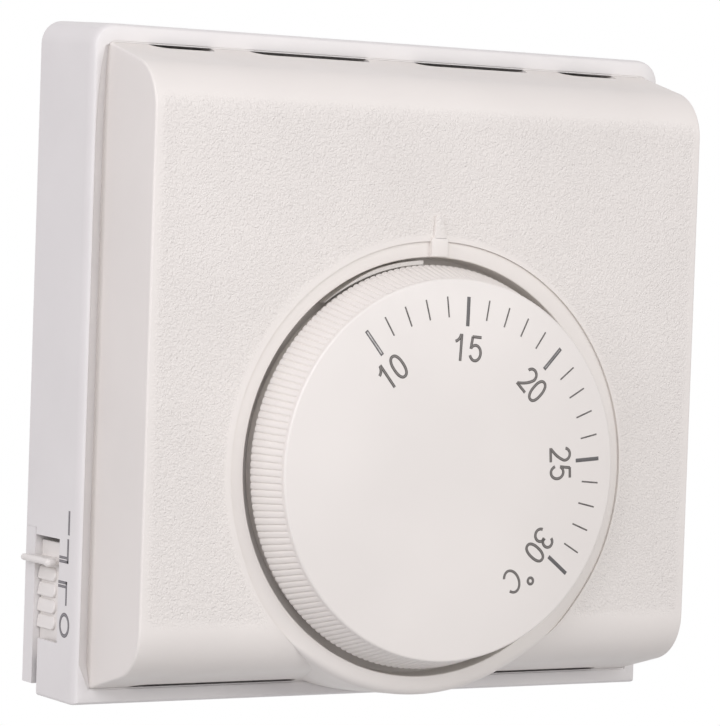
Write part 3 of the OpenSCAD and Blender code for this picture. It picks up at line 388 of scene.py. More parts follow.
def squarePath(half, upper, lower, marks, cornerSteps=10, least=0.06):
    # a square's outline with quarter circles at its corners, as numbers that give a point for any inset o:
    # x = fx (half - o) + gx r + hx, where r = max(corner radius - o, least), and z likewise
    along = np.unique(join([np.linspace(-37.5, 37.5, 31), marks]))
    straight = np.zeros_like(along)
    rows = []

    def side(fx, fz, hx, hz):
        rows.append(np.stack([fx + straight, straight, hx, fz + straight, straight, hz, straight], -1))

    def corner(signX, signZ, start, radius):
        a = np.radians(start + np.linspace(0, 90, cornerSteps + 1))
        one = np.ones_like(a)
        rows.append(np.stack([signX * one, np.cos(a) - signX, 0 * a, signZ * one, np.sin(a) - signZ, 0 * a,
                              radius * one], -1))

    side(1, 0, straight, along)
    corner(1, 1, 0, upper)
    side(0, 1, along[::-1], straight)
    corner(-1, 1, 90, upper)
    side(-1, 0, straight, along[::-1])
    corner(-1, -1, 180, lower)
    side(0, -1, along, straight)
    corner(1, -1, 270, lower)
    table = join(rows)

    def at(o):  # (x, z) of each place on the outline, moved in by o
        r = np.maximum(table[:, 6] - o, least)
        return np.stack([table[:, 0] * (half - o) + table[:, 1] * r + table[:, 2],
                         table[:, 3] * (half - o) + table[:, 4] * r + table[:, 5]], -1)
    return at


def buildHousing(s):
    # the wall's section (inset, depth) is carried round the square; its back edge steps up at the window
    wall, step = s["wall"], 1e-3
    cornerStart = halfHousing - s["upperCorner"]
    edges = [s[key] for key in ("windowTop", "windowBottom", "stripTop", "pocketTop")]
    edges += [side * place for place in s["hookLedge"] for side in (-1, 1)]
    marks = join([[place - step, place + step] for place in edges])
    taperStart = halfHousing - wall - s["channelGap"] - s["channelTaper"]
    marks = join([marks, np.linspace(taperStart, taperStart + s["channelTaper"], 17)[:-5]])
    path = squarePath(halfHousing, s["upperCorner"], s["lowerCorner"], marks)
    x, z = path(0.0).T
    # the side with the slider's window
    left = (x < -halfHousing + 1e-6) | ((x < -halfHousing + wall) & (z < s["windowBottom"]))
    one = np.ones_like(x)
    back = 0 * one
    back[left & (z < s["stripTop"])] = s["stripCut"]
    back[left & (z < s["windowTop"])] = s["windowDepth"]
    back[left & (z < s["windowBottom"])] = s["lowerCut"]
    thin = np.where(left & (z < s["pocketTop"]), s["thinWall"], wall)
    side = np.abs(x) > cornerStart
    extra = s["topWall"] * smooth(z, cornerStart, halfHousing)
    lift = np.clip((z - taperStart) / s["channelTaper"], 0, 1)
    width = s["channelWidth"] * np.sqrt(1 - lift ** 2) * side * (z > -halfHousing + wall)
    share = width / s["channelWidth"]           # 1 where the channel is full, 0 where there is none
    inner = wall + extra - width
    edge = s["seam"] + (s["edgeRound"] - s["seam"]) * share
    seat = wall + s["seat"] + extra
    hook = (np.abs(x) > s["hookLedge"][0]) & (np.abs(x) < s["hookLedge"][1])
    ledge = np.where((z < halfHousing - 1e-6) | hook, wall + s["ledgeWidth"], seat)
    # from the back edge over the rim, the channel and the ledge to the inside
    rows = [(0 * one, back)]
    rows += [(s["rimWidth"] * c * one, (rimDepth - s["rimBack"] * b) * one) for c, b in quarter(9)]
    rows += [(np.maximum(inner - edge * b, s["rimWidth"]), rimDepth - edge * c) for c, b in quarter(5)]
    hollow = s["channelSlant"] * share          # the channel's floor slants down to the cover
    floorOut, floorIn = (rimDepth - 2 * s["seam"] * (1 - share) - s[key] * share
                         for key in ("channelOut", "channelIn"))
    rows += [(inner + np.minimum(width, hollow) * c, floorOut + hollow * b) for c, b in quarter(4)]
    ledgeFront, ledgeBack, deep = (s[key] * one for key in ("ledgeFront", "ledgeBack", "windowDepth"))
    rows += [(seat, floorIn), (seat, ledgeFront), (ledge, ledgeFront), (ledge, ledgeBack),
             (wall * one, ledgeBack), (wall * one, deep), (thin, deep), (thin, back)]
    rings = np.stack([np.insert(path(inset), 1, depth, 1) for inset, depth in rows])
    # the top rises towards the wall: the back edge's upper part is lifted, more and more with its height
    rise = housingBox["z1"] - halfHousing
    rings[0, :, 2] += rise * np.clip((z - s["riseFrom"]) / (cornerStart - s["riseFrom"]), 0, 1)
    islands = [torus(rings)]
    for px, pz in s["screwPlaces"]:
        size = s["upperGusset"] if pz > 0 else s["gusset"]
        islands.append(tube(s["screwHole"], size, s["ledgeBack"], s["ledgeFront"], px, pz, 48))
        ends = sorted((px + math.copysign(s["gussetFrom"], px), math.copysign(s["gussetTo"], px)))
        islands.append(roundedBox(*ends, s["ledgeBack"] + 0.01, s["ledgeFront"] - 0.01,
                                  pz - s["gussetHalf"], pz + s["gussetHalf"], 0.1))
    piece("housingShell", islands, "case", housingPlastic, ["housing"])


buildHousing(housing)


cover = {
    "halfWidth": 40.6, "halfHeight": 40.6, "back": 12.0, "slopeStart": 15.2, "faceRound": 6.7, "slope": 15.6,
    "wall": 1.8, "edgeRound": 0.32, "innerRound": 0.15, "patchHalf": 33.0, "patchTop": 20.0, "patchRings": 18,
    "holeRadius": 29.2, "holeInset": 1.7, "insetFade": (24, 41),
    "topDrop": 0.25, "slotFront": 17.0, "slotBack": 15.3, "slotLeft": 2.6, "slotRight": 0.5,
    "topSlots": [(3.6, 20.7), (26.3, 35.1)], "bottomSlots": [(11.5, 35.3)],
}


def coverSection(s):
    # half of the cover's side view by its length t from the middle: flat, arc, slope, then straight back;
    # gives depth, height and the outward normal
    r = s["faceRound"]
    slope = math.radians(s["slope"])
    run = faceDepth - r - s["slopeStart"]
    flat = s["halfHeight"] - (r + run * math.sin(slope)) / math.cos(slope)
    sweep = math.pi / 2 - slope
    arcEnd = flat + r * sweep
    slopeEnd = arcEnd + (faceDepth - r + r * math.cos(sweep) - s["slopeStart"]) / math.sin(sweep)
    total = slopeEnd + s["slopeStart"] - s["back"]

    def at(t):
        sign, u = np.sign(t), np.abs(t)
        a = np.clip((u - flat) / r, 0, sweep)
        onSlope = np.clip(u - arcEnd, 0, slopeEnd - arcEnd)
        onBack = np.clip(u - slopeEnd, 0, None)
        depth = faceDepth - r + r * np.cos(a) - onSlope * np.sin(sweep) - onBack
        height = np.minimum(u, flat) + r * np.sin(a) + onSlope * np.cos(sweep)
        height = height - (t > 0) * s["topDrop"] * np.clip((height - flat) / (s["halfHeight"] - flat), 0, 1)
        nd, nz = np.where(onBack > 0, 0, np.cos(a)), np.where(onBack > 0, 1, np.sin(a))
        return depth, sign * height, nd, sign * nz

    def lengthAt(z):  # t for a height z
        u = np.abs(z)
        a = np.arcsin(np.clip((u - flat) / r, 0, math.sin(sweep)))
        top = flat + r * math.sin(sweep)
        return np.sign(z) * np.where(u < flat, u, flat + r * a + np.maximum(u - top, 0) / math.cos(sweep))

    def lengthBack(depth):  # t on the slope for a depth
        return slopeEnd - (depth - s["slopeStart"]) / math.sin(sweep)
    return at, lengthAt, lengthBack, flat, arcEnd, slopeEnd, total


def spaced(places, gap):  # all the given places, and evenly spread ones between them no further apart than gap
    places = np.unique(np.round(places, 6))
    return np.unique(join([np.linspace(a, b, int(np.ceil((b - a) / gap)) + 1)
                           for a, b in zip(places[:-1], places[1:])]))


def buildCover(s):
    # a sheet over (u, t), u across the front and t along the section, with slots and a patch round the well
    section, lengthAt, lengthBack, flat, arcEnd, slopeEnd, total = coverSection(s)
    edge, block = s["edgeRound"], s["patchHalf"]
    flatX = s["halfWidth"] - edge
    slots = s["topSlots"] + s["bottomSlots"]
    ends = [v for slot in slots for v in slot]
    bend = 1 - np.cos(np.linspace(0, np.pi / 2, 7))
    rounds = [v + side * s[key] * bend for a, b in slots for v, side in ((a, 1), (b, -1))
              for key in ("slotLeft", "slotRight")]
    halfXs = spaced(join([[0, block, flatX], ends, *rounds]), 1.25)
    xs = np.unique(join([-halfXs, halfXs]))
    # u runs past the flat: one unit of rounding and one of side wall on each side
    us = join([-flatX - 1 - np.linspace(1, 0, 5)[:-1], -flatX - np.linspace(1, 0, 7)[:-1], xs,
               flatX + np.linspace(0, 1, 7)[1:], flatX + 1 + np.linspace(0, 1, 5)[1:]])
    slotFront, slotBack = lengthBack(s["slotFront"]), lengthBack(s["slotBack"])
    arcs = flat + (arcEnd - flat) * np.linspace(0, 1, 19)
    halfTs = join([spaced([0, s["patchTop"], flat], 1.4), arcs, spaced([arcEnd, slotFront], 0.9),
                   spaced([slotFront, slotBack, slopeEnd, total], 1.1)])
    ts = np.unique(np.round(join([-halfTs, halfTs]), 6))
    rows, cols = len(us), len(ts)
    u, t = (m.copy() for m in np.meshgrid(us, ts, indexing="ij"))
    keep = np.ones((rows - 1, cols - 1), bool)
    midU, midT = (us[1:] + us[:-1]) / 2, (ts[1:] + ts[:-1]) / 2
    # slots are open to the cover's back edge; their front corners are quarter ellipses
    for sign, group in ((1, s["topSlots"]), (-1, s["bottomSlots"])):
        front = np.argmin(np.abs(ts - sign * slotFront))
        for a, b in group:
            keep &= ~(((np.abs(midU) > a) & (np.abs(midU) < b))[:, None] & (sign * midT > slotFront))
            for low, high in ((a, b), (-b, -a)):
                inside = (us > low + 1e-4) & (us < high - 1e-4)
                reach = 1 - np.clip([(us - low) / s["slotLeft"], (high - us) / s["slotRight"]], 0, 1)
                away = (slotBack - slotFront) * (1 - np.sqrt(1 - reach ** 2)).max(0)
                t[inside, front] += sign * away[inside]
    # the cells round the dial's well give way to a patch of rings
    patchLow = -slotFront
    keep &= ~((np.abs(midU) < block)[:, None] & (midT > patchLow) & (midT < s["patchTop"]))
    i0, i1 = np.searchsorted(us, [-block - 1e-4, block + 1e-4]) + [0, -1]
    j0, j1 = np.searchsorted(ts, [patchLow - 1e-4, s["patchTop"] + 1e-4]) + [0, -1]
    border = blockBorder(i0, i1, j0, j1, cols)
    flatU, flatT = u.ravel(), t.ravel()
    bu, bt = flatU[border], flatT[border]
    angle = np.arctan2(bu, section(bt)[1] - dialZ)
    fromBottom = np.degrees(np.pi - np.abs(angle))
    radius = s["holeRadius"] + arcShift(angle) - s["holeInset"] * (1 - smooth(fromBottom, *s["insetFade"]))
    hu, ht = radius * np.sin(angle), lengthAt(dialZ + radius * np.cos(angle))
    share = np.linspace(0, 1, s["patchRings"] + 1)[:-1, None]      # rings from the hole to the border
    ringU, ringT = hu + (bu - hu) * share, ht + (bt - ht) * share
    rings = join([rows * cols + np.arange(ringU.size).reshape(ringU.shape), border[None]])
    patch = rings.ravel()[gridQuads(*rings.shape, True)]
    quads = join([gridQuads(rows, cols)[keep.ravel()], patch[:, ::-1]])
    flatU, flatT = join([flatU, ringU.ravel()]), join([flatT, ringT.ravel()])

    def surface(wall, halfWidth, rounding):
        # the sheet moved in by wall; x follows u, then a quarter circle over the edge, then the side wall
        depth, height, nd, nz = section(flatT)
        side, past = np.sign(flatU), np.abs(flatU) - flatX
        a = np.clip(past, 0, 1) * np.pi / 2
        down = np.clip(past - 1, 0, 1)
        inX = np.minimum(np.abs(flatU), flatX)
        squeeze = block + (inX - block) * (halfWidth - rounding - block) / (flatX - block)
        x = side * (np.where(inX > block, squeeze, inX) + rounding * np.sin(a))
        off = wall + rounding * (1 - np.cos(a))
        depth, height = depth - nd * off, height - nz * off
        depth = np.maximum(depth, s["back"])
        depth = depth + (s["back"] - depth) * down
        return np.stack([x, depth, height], -1)
    body = shell(surface(0, s["halfWidth"], edge),
                 surface(s["wall"], s["halfWidth"] - s["wall"], s["innerRound"]), quads)
    islands = [body] + coverRing() + coverTrim(trim)
    piece("coverShell", islands, "case", coverPlastic, ["front_cover"], 30,
          {"grain": lambda p: grainMask(p, flat, flatX)})


def grainMask(points, flat, flatX):
    # 1 on the face and the first of its bends, 0 on the edges, on the collar and inside
    x, d, z = points.T
    fromDial = np.hypot(x, z - dialZ)
    front = smooth(d, faceDepth - 1.2, faceDepth - 0.8)
    height = (1 - smooth(z, flat + 1.2, flat + 2.8)) * (1 - smooth(-z, flat - 1.2, flat + 0.6))
    return front * height * (1 - smooth(np.abs(x), flatX - 1.2, flatX - 0.3)) * smooth(fromDial, 29.25, 29.9)


well = {
    "radius": 26.8, "collarRadius": 29.2, "collarFront": 28.5, "collarBack": 15.7, "draft": 5.0,
    "floorFront": 25.0, "floorBack": 23.4, "floorRound": 0.4, "hole": 4.7, "lap": 2.5, "chamfer": 0.18,
    "wallOutside": 28.4, "wallBack": 27.85, "skirtWall": 1.8, "shortSkirt": 26.9, "skirtFade": (50, 60),
    "edgeRound": 0.09, "lowerRound": 1.3, "roundFade": (26, 46),
    "offCentre": {"all": -0.16, "right": 0.34, "up": -0.17, "fade": (110, 130)},
    "ledge": {"from": -37, "to": -3, "low": 25.9, "high": 26.4, "back": 26.0, "front": 27.8},
    "cup": {"x": -14.5, "z": -26.4, "radius": 4.6, "back": 21.4, "floor": 23.0, "rim": 24.0, "head": 3.2,
            "shank": 1.7, "block": (4.2, 3.6, 0.23)},     # the floor's cells that make room for the cup's patch
}


def arcShift(angle):
    # the collar's edge in the face is a circle a little beside the dial's axis, but not at the bottom
    shift = well["offCentre"]
    off = shift["all"] + shift["right"] * np.sin(angle) + shift["up"] * np.cos(angle)
    return off * (1 - smooth(np.abs(angle), *np.radians(shift["fade"])))


def coverRing():
    # collar, well and floor: a profile turned about the dial's axis, whose skirt is long only at the bottom,
    # where the cover's face curves away from it
    w = well
    front, back, floor, radius = w["collarFront"], w["collarBack"], w["floorFront"], w["radius"]
    a = fullTurn(360)
    one = np.ones_like(a)
    fromBottom = np.degrees(np.abs(np.pi - a))
    short = smooth(fromBottom, *w["skirtFade"])
    atEdge = w["collarRadius"] + arcShift(np.where(a > np.pi, a - 2 * np.pi, a))

    def coneRadius(depth):
        return atEdge + (front - depth) * math.tan(math.radians(w["draft"]))
    skirt = back + (w["shortSkirt"] - back) * short
    soft = w["edgeRound"] + (w["lowerRound"] - w["edgeRound"]) * (1 - smooth(fromBottom, *w["roundFade"]))
    # up the outside, over the edge, down the well's wall, and back under its floor
    rows = [(coneRadius(skirt), skirt)]
    rows += [(coneRadius(front - soft) - soft * c, front - soft * b) for c, b in quarter(7)]
    rows += [(one * (radius + w["chamfer"] * b), one * (front - w["chamfer"] * c)) for c, b in quarter(4)]
    rows += [(one * (radius - w["floorRound"] * c), one * (floor + w["floorRound"] * b)) for c, b in quarter(4)]
    lap = one * (radius - w["lap"])               # the ring's floor reaches under the floor's edge
    inside = coneRadius(back) - w["skirtWall"]
    rows += [(lap, one * floor), (lap, one * w["floorBack"]),
             (w["wallBack"] + (w["wallOutside"] - w["wallBack"]) * short, one * w["floorBack"]),
             (inside + (w["wallOutside"] - inside) * short, skirt)]
    ledge = w["ledge"]
    grow = 0.02 + (ledge["high"] - ledge["low"]) * smooth(np.linspace(0, 1, 40), 0, 0.6)[:, None]
    x, z, cupBack, cupFloor, rim, shank, head, size = (
        w["cup"][key] for key in ("x", "z", "back", "floor", "rim", "shank", "head", "radius"))
    cup = [(shank, cupBack), (size, cupBack), (size, rim), (head, rim), (head, cupFloor), (shank, cupFloor)]
    return [torus(np.stack([polar(r, d, a) for r, d in rows], 1)), wellFloor(),
            arcBar(ledge["low"], ledge["low"] + grow, *(ledge[key] for key in ("back", "front", "from", "to"))),
            lathe(cup, x, z, 48)]


def wellFloor():
    # the well's floor as rings about the dial's axis, with a patch of rings round the screw's cup
    w, cup = well, well["cup"]
    radii = np.linspace(w["hole"], w["radius"] - 2.4, 25)
    turns = np.linspace(0, 2 * np.pi, 121)
    r, a = np.meshgrid(radii, turns[:-1], indexing="ij")
    flatX, flatZ = (r * np.sin(a)).ravel(), (dialZ + r * np.cos(a)).ravel()
    cupR, cupA = math.hypot(cup["x"], cup["z"] - dialZ), math.atan2(cup["x"], cup["z"] - dialZ) % (2 * math.pi)
    rows, cols = r.shape
    cells = gridQuads(rows, cols, True)
    below, above, aside = cup["block"]
    i0, i1 = np.searchsorted(radii, [cupR - below, cupR + above])
    i1 = min(i1, rows - 2)
    j0, j1 = np.searchsorted(turns, [cupA - aside, cupA + aside])
    row, col = np.divmod(np.arange(len(cells)), cols)
    cells = cells[~((row >= i0) & (row < i1) & (col >= j0) & (col < j1))]
    border = blockBorder(i0, i1, j0, j1, cols)
    bx, bz = flatX[border], flatZ[border]
    turn = np.arctan2(bx - cup["x"], bz - cup["z"])
    hx, hz = cup["x"] + cup["head"] * np.sin(turn), cup["z"] + cup["head"] * np.cos(turn)
    ring = rows * cols + np.arange(len(border))
    patch = join([border, ring])[gridQuads(2, len(ring), True)]
    px, pz = join([flatX, hx]), join([flatZ, hz])
    front, back = (np.stack([px, 0 * px + w[key], pz], -1) for key in ("floorFront", "floorBack"))
    return shell(front, back, join([cells, patch]))


trim = {
    # the pointer's outlines hold x and the distance above the dial's axis
    "pad": [(-0.95, 26.9), (1.45, 26.9), (1.45, 29.35), (-0.95, 29.35)], "padBack": 28.0,
    "ridge": [(-0.60, 29.1), (1.20, 29.1), (0.50, 32.1), (-0.45, 32.1)], "ridgeBack": 28.2,
    "lug": (17.6, 20.4, 24.5, 27.6, 180 - 9.19, 180 + 9.19), "web": (31.0, 31.6, 12.2, 17.4, 38.2, 39.6),
    "hooks": (-23.5, 23.5), "hookHalf": 2.5, "hook": (8.9, 14.4, 37.0, 38.4),
}


def coverTrim(s):
    # pointer on the collar, lug that stops the dial, web in an air slot and the hooks behind the top edge
    top = coverBox["d1"]
    return [raised(np.add(s["pad"], (0, dialZ)), s["padBack"], top, 0.12),
            raised(np.add(s["ridge"], (0, dialZ)), s["ridgeBack"], top, 0.15),
            arcBar(*s["lug"], 16), roundedBox(*s["web"], 0.1)] \
        + [roundedBox(x - s["hookHalf"], x + s["hookHalf"], *s["hook"], 0.15) for x in s["hooks"]]


buildCover(cover)


dial = {
    "lip": 0.35, "faceRound": 0.35, "crown": 0.9, "taper": 1.45, "flare": 0.15, "gripLength": 5.3,
    "ribs": 180, "ribDepth": 0.165, "groove": [0, 0.05, 0.10, 0.16, 0.26, 0.40, 0.60, 0.74, 0.84, 0.90, 0.95],
    "grip": [(-0.02, 0), (0.04, 0.15), (0.13, 0.7), (0.30, 1), (1.8, 1), (3.6, 1), (4.9, 1), (5.16, 0.95)],
    "wall": 1.8, "skirt": 0.85, "hollow": 0.35, "hubRadius": 5.5, "hubHole": 3.05, "holeEnd": 2.0,
    "stiffener": (0.6, 2.6), "stopRing": (17.3, 20.7), "stopBack": 28.0,
}
dialFront = dialBox["d1"] - dial["crown"]
dialBack = dialBox["d0"]
gripRadius = dialR - dial["taper"]
faceRadius = gripRadius - dial["faceRound"]
gripFront = dialFront - dial["faceRound"] - dial["lip"]
gripBack = gripFront - dial["gripLength"]


def faceAt(r):  # depth of the dial's crowned face: front + crown (1 - (r / face radius)^3)
    return dialFront + dial["crown"] * (1 - np.minimum(r / faceRadius, 1) ** 3)


def buildDial(s):
    # rows run from the face's middle over the rounded edge, down the ribbed cone and up the inside;
    # between two ribs the radius dips by depth times |2 f - 1|^3.5, f being the place in the pitch
    rows = [(r, faceAt(r), 0) for r in faceRadius * np.array([0, .1, .25, .4, .55, .65, .75, .84, .92, .97, 1])]
    for b in np.radians(np.linspace(78, 0, 8)):
        rows.append((faceRadius + s["faceRound"] * np.cos(b), dialFront - s["faceRound"] * (1 - np.sin(b)), 0))
    slope = (s["taper"] + s["flare"]) / s["gripLength"]
    for down, groove in s["grip"]:
        rows.append((gripRadius + slope * down, gripFront - down, groove))
    outer = dialR + s["flare"]
    rows += [(outer - 0.03, gripBack + 0.06, 0.9), (outer - 0.12, gripBack, 0.7)]
    skirt, inner = dialR - s["skirt"], gripRadius - s["hollow"] - s["wall"]
    ceiling, holeEnd = dialFront - s["wall"], dialFront - s["holeEnd"]
    hub, hole = s["hubRadius"], s["hubHole"]
    rows += [(skirt, gripBack, 0), (skirt, dialBack, 0), (skirt - s["wall"], dialBack, 0),
             (inner, ceiling - 1, 0), (inner - 1, ceiling, 0), (hub, ceiling, 0), (hub, dialBack, 0),
             (hole, dialBack, 0), (hole, holeEnd, 0), (0, holeEnd, 0)]
    r, d, groove = np.array(rows).T
    f = np.array(s["groove"])
    a = ((np.arange(s["ribs"])[:, None] + f) * 2 * np.pi / s["ribs"]).ravel()
    dip = np.tile(np.abs(2 * f - 1) ** 3.5, s["ribs"])
    radius = r[:, None] - s["ribDepth"] * groove[:, None] * dip
    islands = [solid(polar(radius, d[:, None], a), gridQuads(len(r), len(a), True)),
               tube(*s["stopRing"], s["stopBack"], ceiling + 0.2, 0, dialZ, 96)]
    half, deep = s["stiffener"]
    box, quads = roundedBox(-half, half, ceiling - deep, ceiling + 0.2, hub - 0.1, inner + 0.3, 0.1)
    for turn in np.radians(np.arange(0, 360, 60)):   # stiffening ribs under the face
        x = box[:, 0] * np.cos(turn) + box[:, 2] * np.sin(turn)
        z = box[:, 2] * np.cos(turn) - box[:, 0] * np.sin(turn)
        islands.append((np.stack([x, box[:, 1], dialZ + z], -1), quads))
    piece("dialKnob", islands, "dial", dialPlastic, ["setting_dial"], 38)


buildDial(dial)


coil = {"radius": 4.4, "wire": 0.45, "turns": 3.5, "stepsPerTurn": 40, "sides": 16, "leverRoom": 0.37}


def buildRangeCoil(s):
    # a round wire wound about the dial's axis, with half a closed turn at each end; its front end presses on
    # the spring seat, and its back end leaves room for the lever's tilt
    box = nodeBox("range_spring")
    turn = np.linspace(0, s["turns"], int(s["turns"] * s["stepsPerTurn"]) + 1)[:, None]
    rise = np.interp(turn, [0, 0.5, s["turns"] - 0.5, s["turns"]], [0, 0.05, 0.95, 1])
    back, front = box["d0"] + s["wire"] + s["leverRoom"], box["d1"] - s["wire"]
    around = fullTurn(s["sides"])
    r = s["radius"] + s["wire"] * np.cos(around)
    d = back + (front - back) * rise + s["wire"] * np.sin(around)
    rings = np.stack([r * np.cos(2 * np.pi * turn), d, dialZ + r * np.sin(2 * np.pi * turn)], -1)
    obj = piece("rangeCoil", [loft(rings)], None, springSteel, ["range_spring"], 50)
    start, end = ((0, -depth * mm, dialZ * mm) for depth in (back + s["wire"], front - s["wire"]))
    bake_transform(obj)
    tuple(start)
    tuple(end)


buildRangeCoil(coil)


def stroke(path, width, place, closed=False, core=None, lift=0.03, sink=0.06):
    # a bar along a path of (p, q), lifted a little off the surface; place maps (p, q, height). The third thing
    # that it gives back is 0 on the core line and 1 at half a width from it
    path = np.asarray(path, float)
    if closed:
        forward = np.roll(path, -1, 0) - np.roll(path, 1, 0)
    else:
        forward = np.gradient(path, axis=0)
    forward /= np.linalg.norm(forward, axis=1)[:, None]
    normal = np.stack([-forward[:, 1], forward[:, 0]], -1)
    across = np.array([-1, -1, -0.85, 0, 0.85, 1, 1]) * width / 2
    height = np.array([-sink, lift * 0.5, lift, lift, lift, lift * 0.5, -sink])
    p = path[:, None, 0] + normal[:, None, 0] * across
    q = path[:, None, 1] + normal[:, None, 1] * across
    rings = place(p, q, height + 0 * p)
    shape = (torus if closed else loft)(rings)
    core = path if core is None else core
    middle = place(core[:, 0], core[:, 1], np.full(len(core), lift))
    gap = np.linalg.norm(shape[0][:, None] - middle[None], axis=2).min(1)
    return shape + (np.clip(gap / (width / 2), 0, 1),)


def line(p0, q0, p1, q1, count=6):
    return np.linspace((p0, q0), (p1, q1), count)


def bow(p, q, rp, rq, start, end, count=28):  # part of an ellipse between two angles in degrees
    a = np.radians(np.linspace(start, end, count))
    return np.stack([p + rp * np.cos(a), q + rq * np.sin(a)], -1)


def ringPath(p, q, rp, rq, power=2.0, count=44):  # |p / rp|^n + |q / rq|^n = 1
    a = fullTurn(count)
    c, s = np.cos(a), np.sin(a)
    return np.stack([p + rp * np.sign(c) * np.abs(c) ** (2 / power),
                     q + rq * np.sign(s) * np.abs(s) ** (2 / power)], -1)


def glyph(sign):  # strokes of a plain sign, one unit high about the origin, each with True where it is closed
    if sign == "0":
        return [(ringPath(0, 0, 0.215, 0.44, 2.3), True)]
    if sign == "1":
        return [(line(0.06, -0.5, 0.06, 0.5), False), (bow(-0.26, 0.56, 0.30, 0.36, -78, -12, 10), False)]
    if sign == "2":
        top = bow(-0.005, 0.21, 0.225, 0.235, 170, -30, 24)
        tail = np.stack([np.linspace(top[-1, 0], -0.23, 12), np.linspace(top[-1, 1], -0.42, 12)], -1)
        tail[:, 0] += 0.05 * np.sin(np.linspace(0, np.pi, 12))
        return [(join([top, tail[1:]]), False), (line(-0.27, -0.44, 0.26, -0.44), False)]
    if sign == "3":
        return [(bow(-0.01, 0.215, 0.205, 0.225, 165, -92, 24), False),
                (bow(-0.01, -0.205, 0.235, 0.235, 95, -165, 28), False)]
    if sign == "5":
        return [(line(-0.17, 0.435, 0.22, 0.435), False), (line(-0.155, 0.44, -0.215, -0.02), False),
                (bow(-0.01, -0.155, 0.235, 0.285, 148, -160, 30), False)]
    if sign == "C":
        return [(bow(0.02, 0, 0.31, 0.44, 38, 322, 40), False)]
    return [(ringPath(0, 0.30, 0.115, 0.125), True)]


scale = {
    "first": 10, "last": 30, "firstAngle": -37.7, "step": 8.24, "outer": 22.05, "short": 19.44, "long": 18.33,
    "thin": 0.20, "thick": 0.50, "numeral": 3.43, "numeralStroke": 0.38,
    "hollow": [1.0, 0.35, 0.75, 0.2, 0.15],
    "labels": [("10", 15.8, -38.2, 0.64), ("15", 15.6, 4.2, 0.70), ("20", 15.63, 45.4, 0.61),
               ("25", 15.85, 86.6, 0.67), ("30", 16.2, 126.3, 0.64)],
    "degree": (17.5, 139.7), "letter": (16.8, 147.1),
}


def onDial(r0, angle):  # a place on the crowned face: p runs clockwise and q outwards from radius r0
    a = math.radians(angle)

    def place(p, q, height):
        x = (r0 + q) * math.sin(a) + p * math.cos(a)
        z = (r0 + q) * math.cos(a) - p * math.sin(a)
        return np.stack([x, faceAt(np.hypot(x, z)) + height, dialZ + z], -1)
    return place


def inkPiece(name, strokes, body, material):
    shades = join([s[2] for s in strokes])
    piece(name, [s[:2] for s in strokes], body, material, (), 50,
          {"across": lambda points: shades})


def buildScale(s):
    thin, thick, numerals = [], [], []
    for temperature in range(s["first"], s["last"] + 1):
        angle = s["firstAngle"] + s["step"] * (temperature - s["first"])
        long = temperature % 5 == 0
        inner = s["long"] if long else s["short"]
        length, width = s["outer"] - inner, s["thick" if long else "thin"]
        along = np.array([0, 0.1, 0.2, 0.35, length / 2, length - 0.35, length - 0.2, length - 0.1, length])
        bar = stroke(np.stack([0 * along, along], -1), width, onDial(inner, angle),
                     core=line(0, width / 2, 0, length - width / 2, 30))
        if long:                    # the foil is thin along the middle of some of the long ones
            hollow = s["hollow"][(temperature - s["first"]) // 5]
            thick.append((bar[0], bar[1], 1 - hollow * (1 - bar[2])))
        else:
            thin.append(bar)
    size = s["numeral"]
    for text, radius, angle, advance in s["labels"]:
        for k, sign in enumerate(text):
            shift = (k - (len(text) - 1) / 2) * advance
            for path, closed in glyph(sign):
                path = (path + [shift, 0]) * size
                numerals.append(stroke(path, s["numeralStroke"], onDial(radius, angle), closed))
    for sign, (radius, angle) in (("deg", s["degree"]), ("C", s["letter"])):
        for path, closed in glyph(sign):
            numerals.append(stroke(path * size, s["numeralStroke"] * 0.9, onDial(radius, angle), closed))
    inkPiece("dialTicks", thin, "dial", dialInk)
    inkPiece("dialLongTicks", thick, "dial", paleInk)
    inkPiece("dialNumerals", numerals, "dial", dialInk)


buildScale(scale)

sideMarks = {
    "width": 0.42,
    "bars": [((12.6, -18.45), (12.6, -21.5), 0.48), ((12.5, -22.0), (12.5, -25.1), 0.48),
             ((10.1, -24.42), (12.3, -24.42), 0.34), ((10.1, -24.92), (12.7, -24.92), 0.36),
             ((10.0, -27.56), (12.55, -27.56), 0.36), ((10.0, -28.06), (12.2, -28.06), 0.34),
             ((12.35, -27.4), (12.35, -30.4), 0.42)],
    "ring": (12.05, -32.9, 1.25, 1.35),
}


def buildSideMarks(s):  # on, automatic and off beside the slide switch, on the housing's left side
    def place(p, q, height):
        return np.stack([-halfHousing - height, p, q], -1)
    strokes = [stroke(line(*a, *b), width, place) for a, b, width in s["bars"]]
    strokes.append(stroke(ringPath(*s["ring"]), s["width"] * 1.1, place, True))
    inkPiece("sideSymbols", strokes, "case", sideInk)


buildSideMarks(sideMarks)


slider = {
    "plateOut": -41.85, "plateIn": -39.2, "back": 2.9, "front": 9.8, "step": -22.85,
    "tab": {"z0": -25.75, "z1": -24.78, "front": 8.9, "foot": 0.7},
    "rib": {"first": -28.0, "pitch": 2.06, "height": 1.85, "start": 2.92, "length": 4.8, "reach": 0.46},
    "arm": {"d0": 4.2, "d1": 6.2, "z0": -31.5, "z1": -28.5},
}


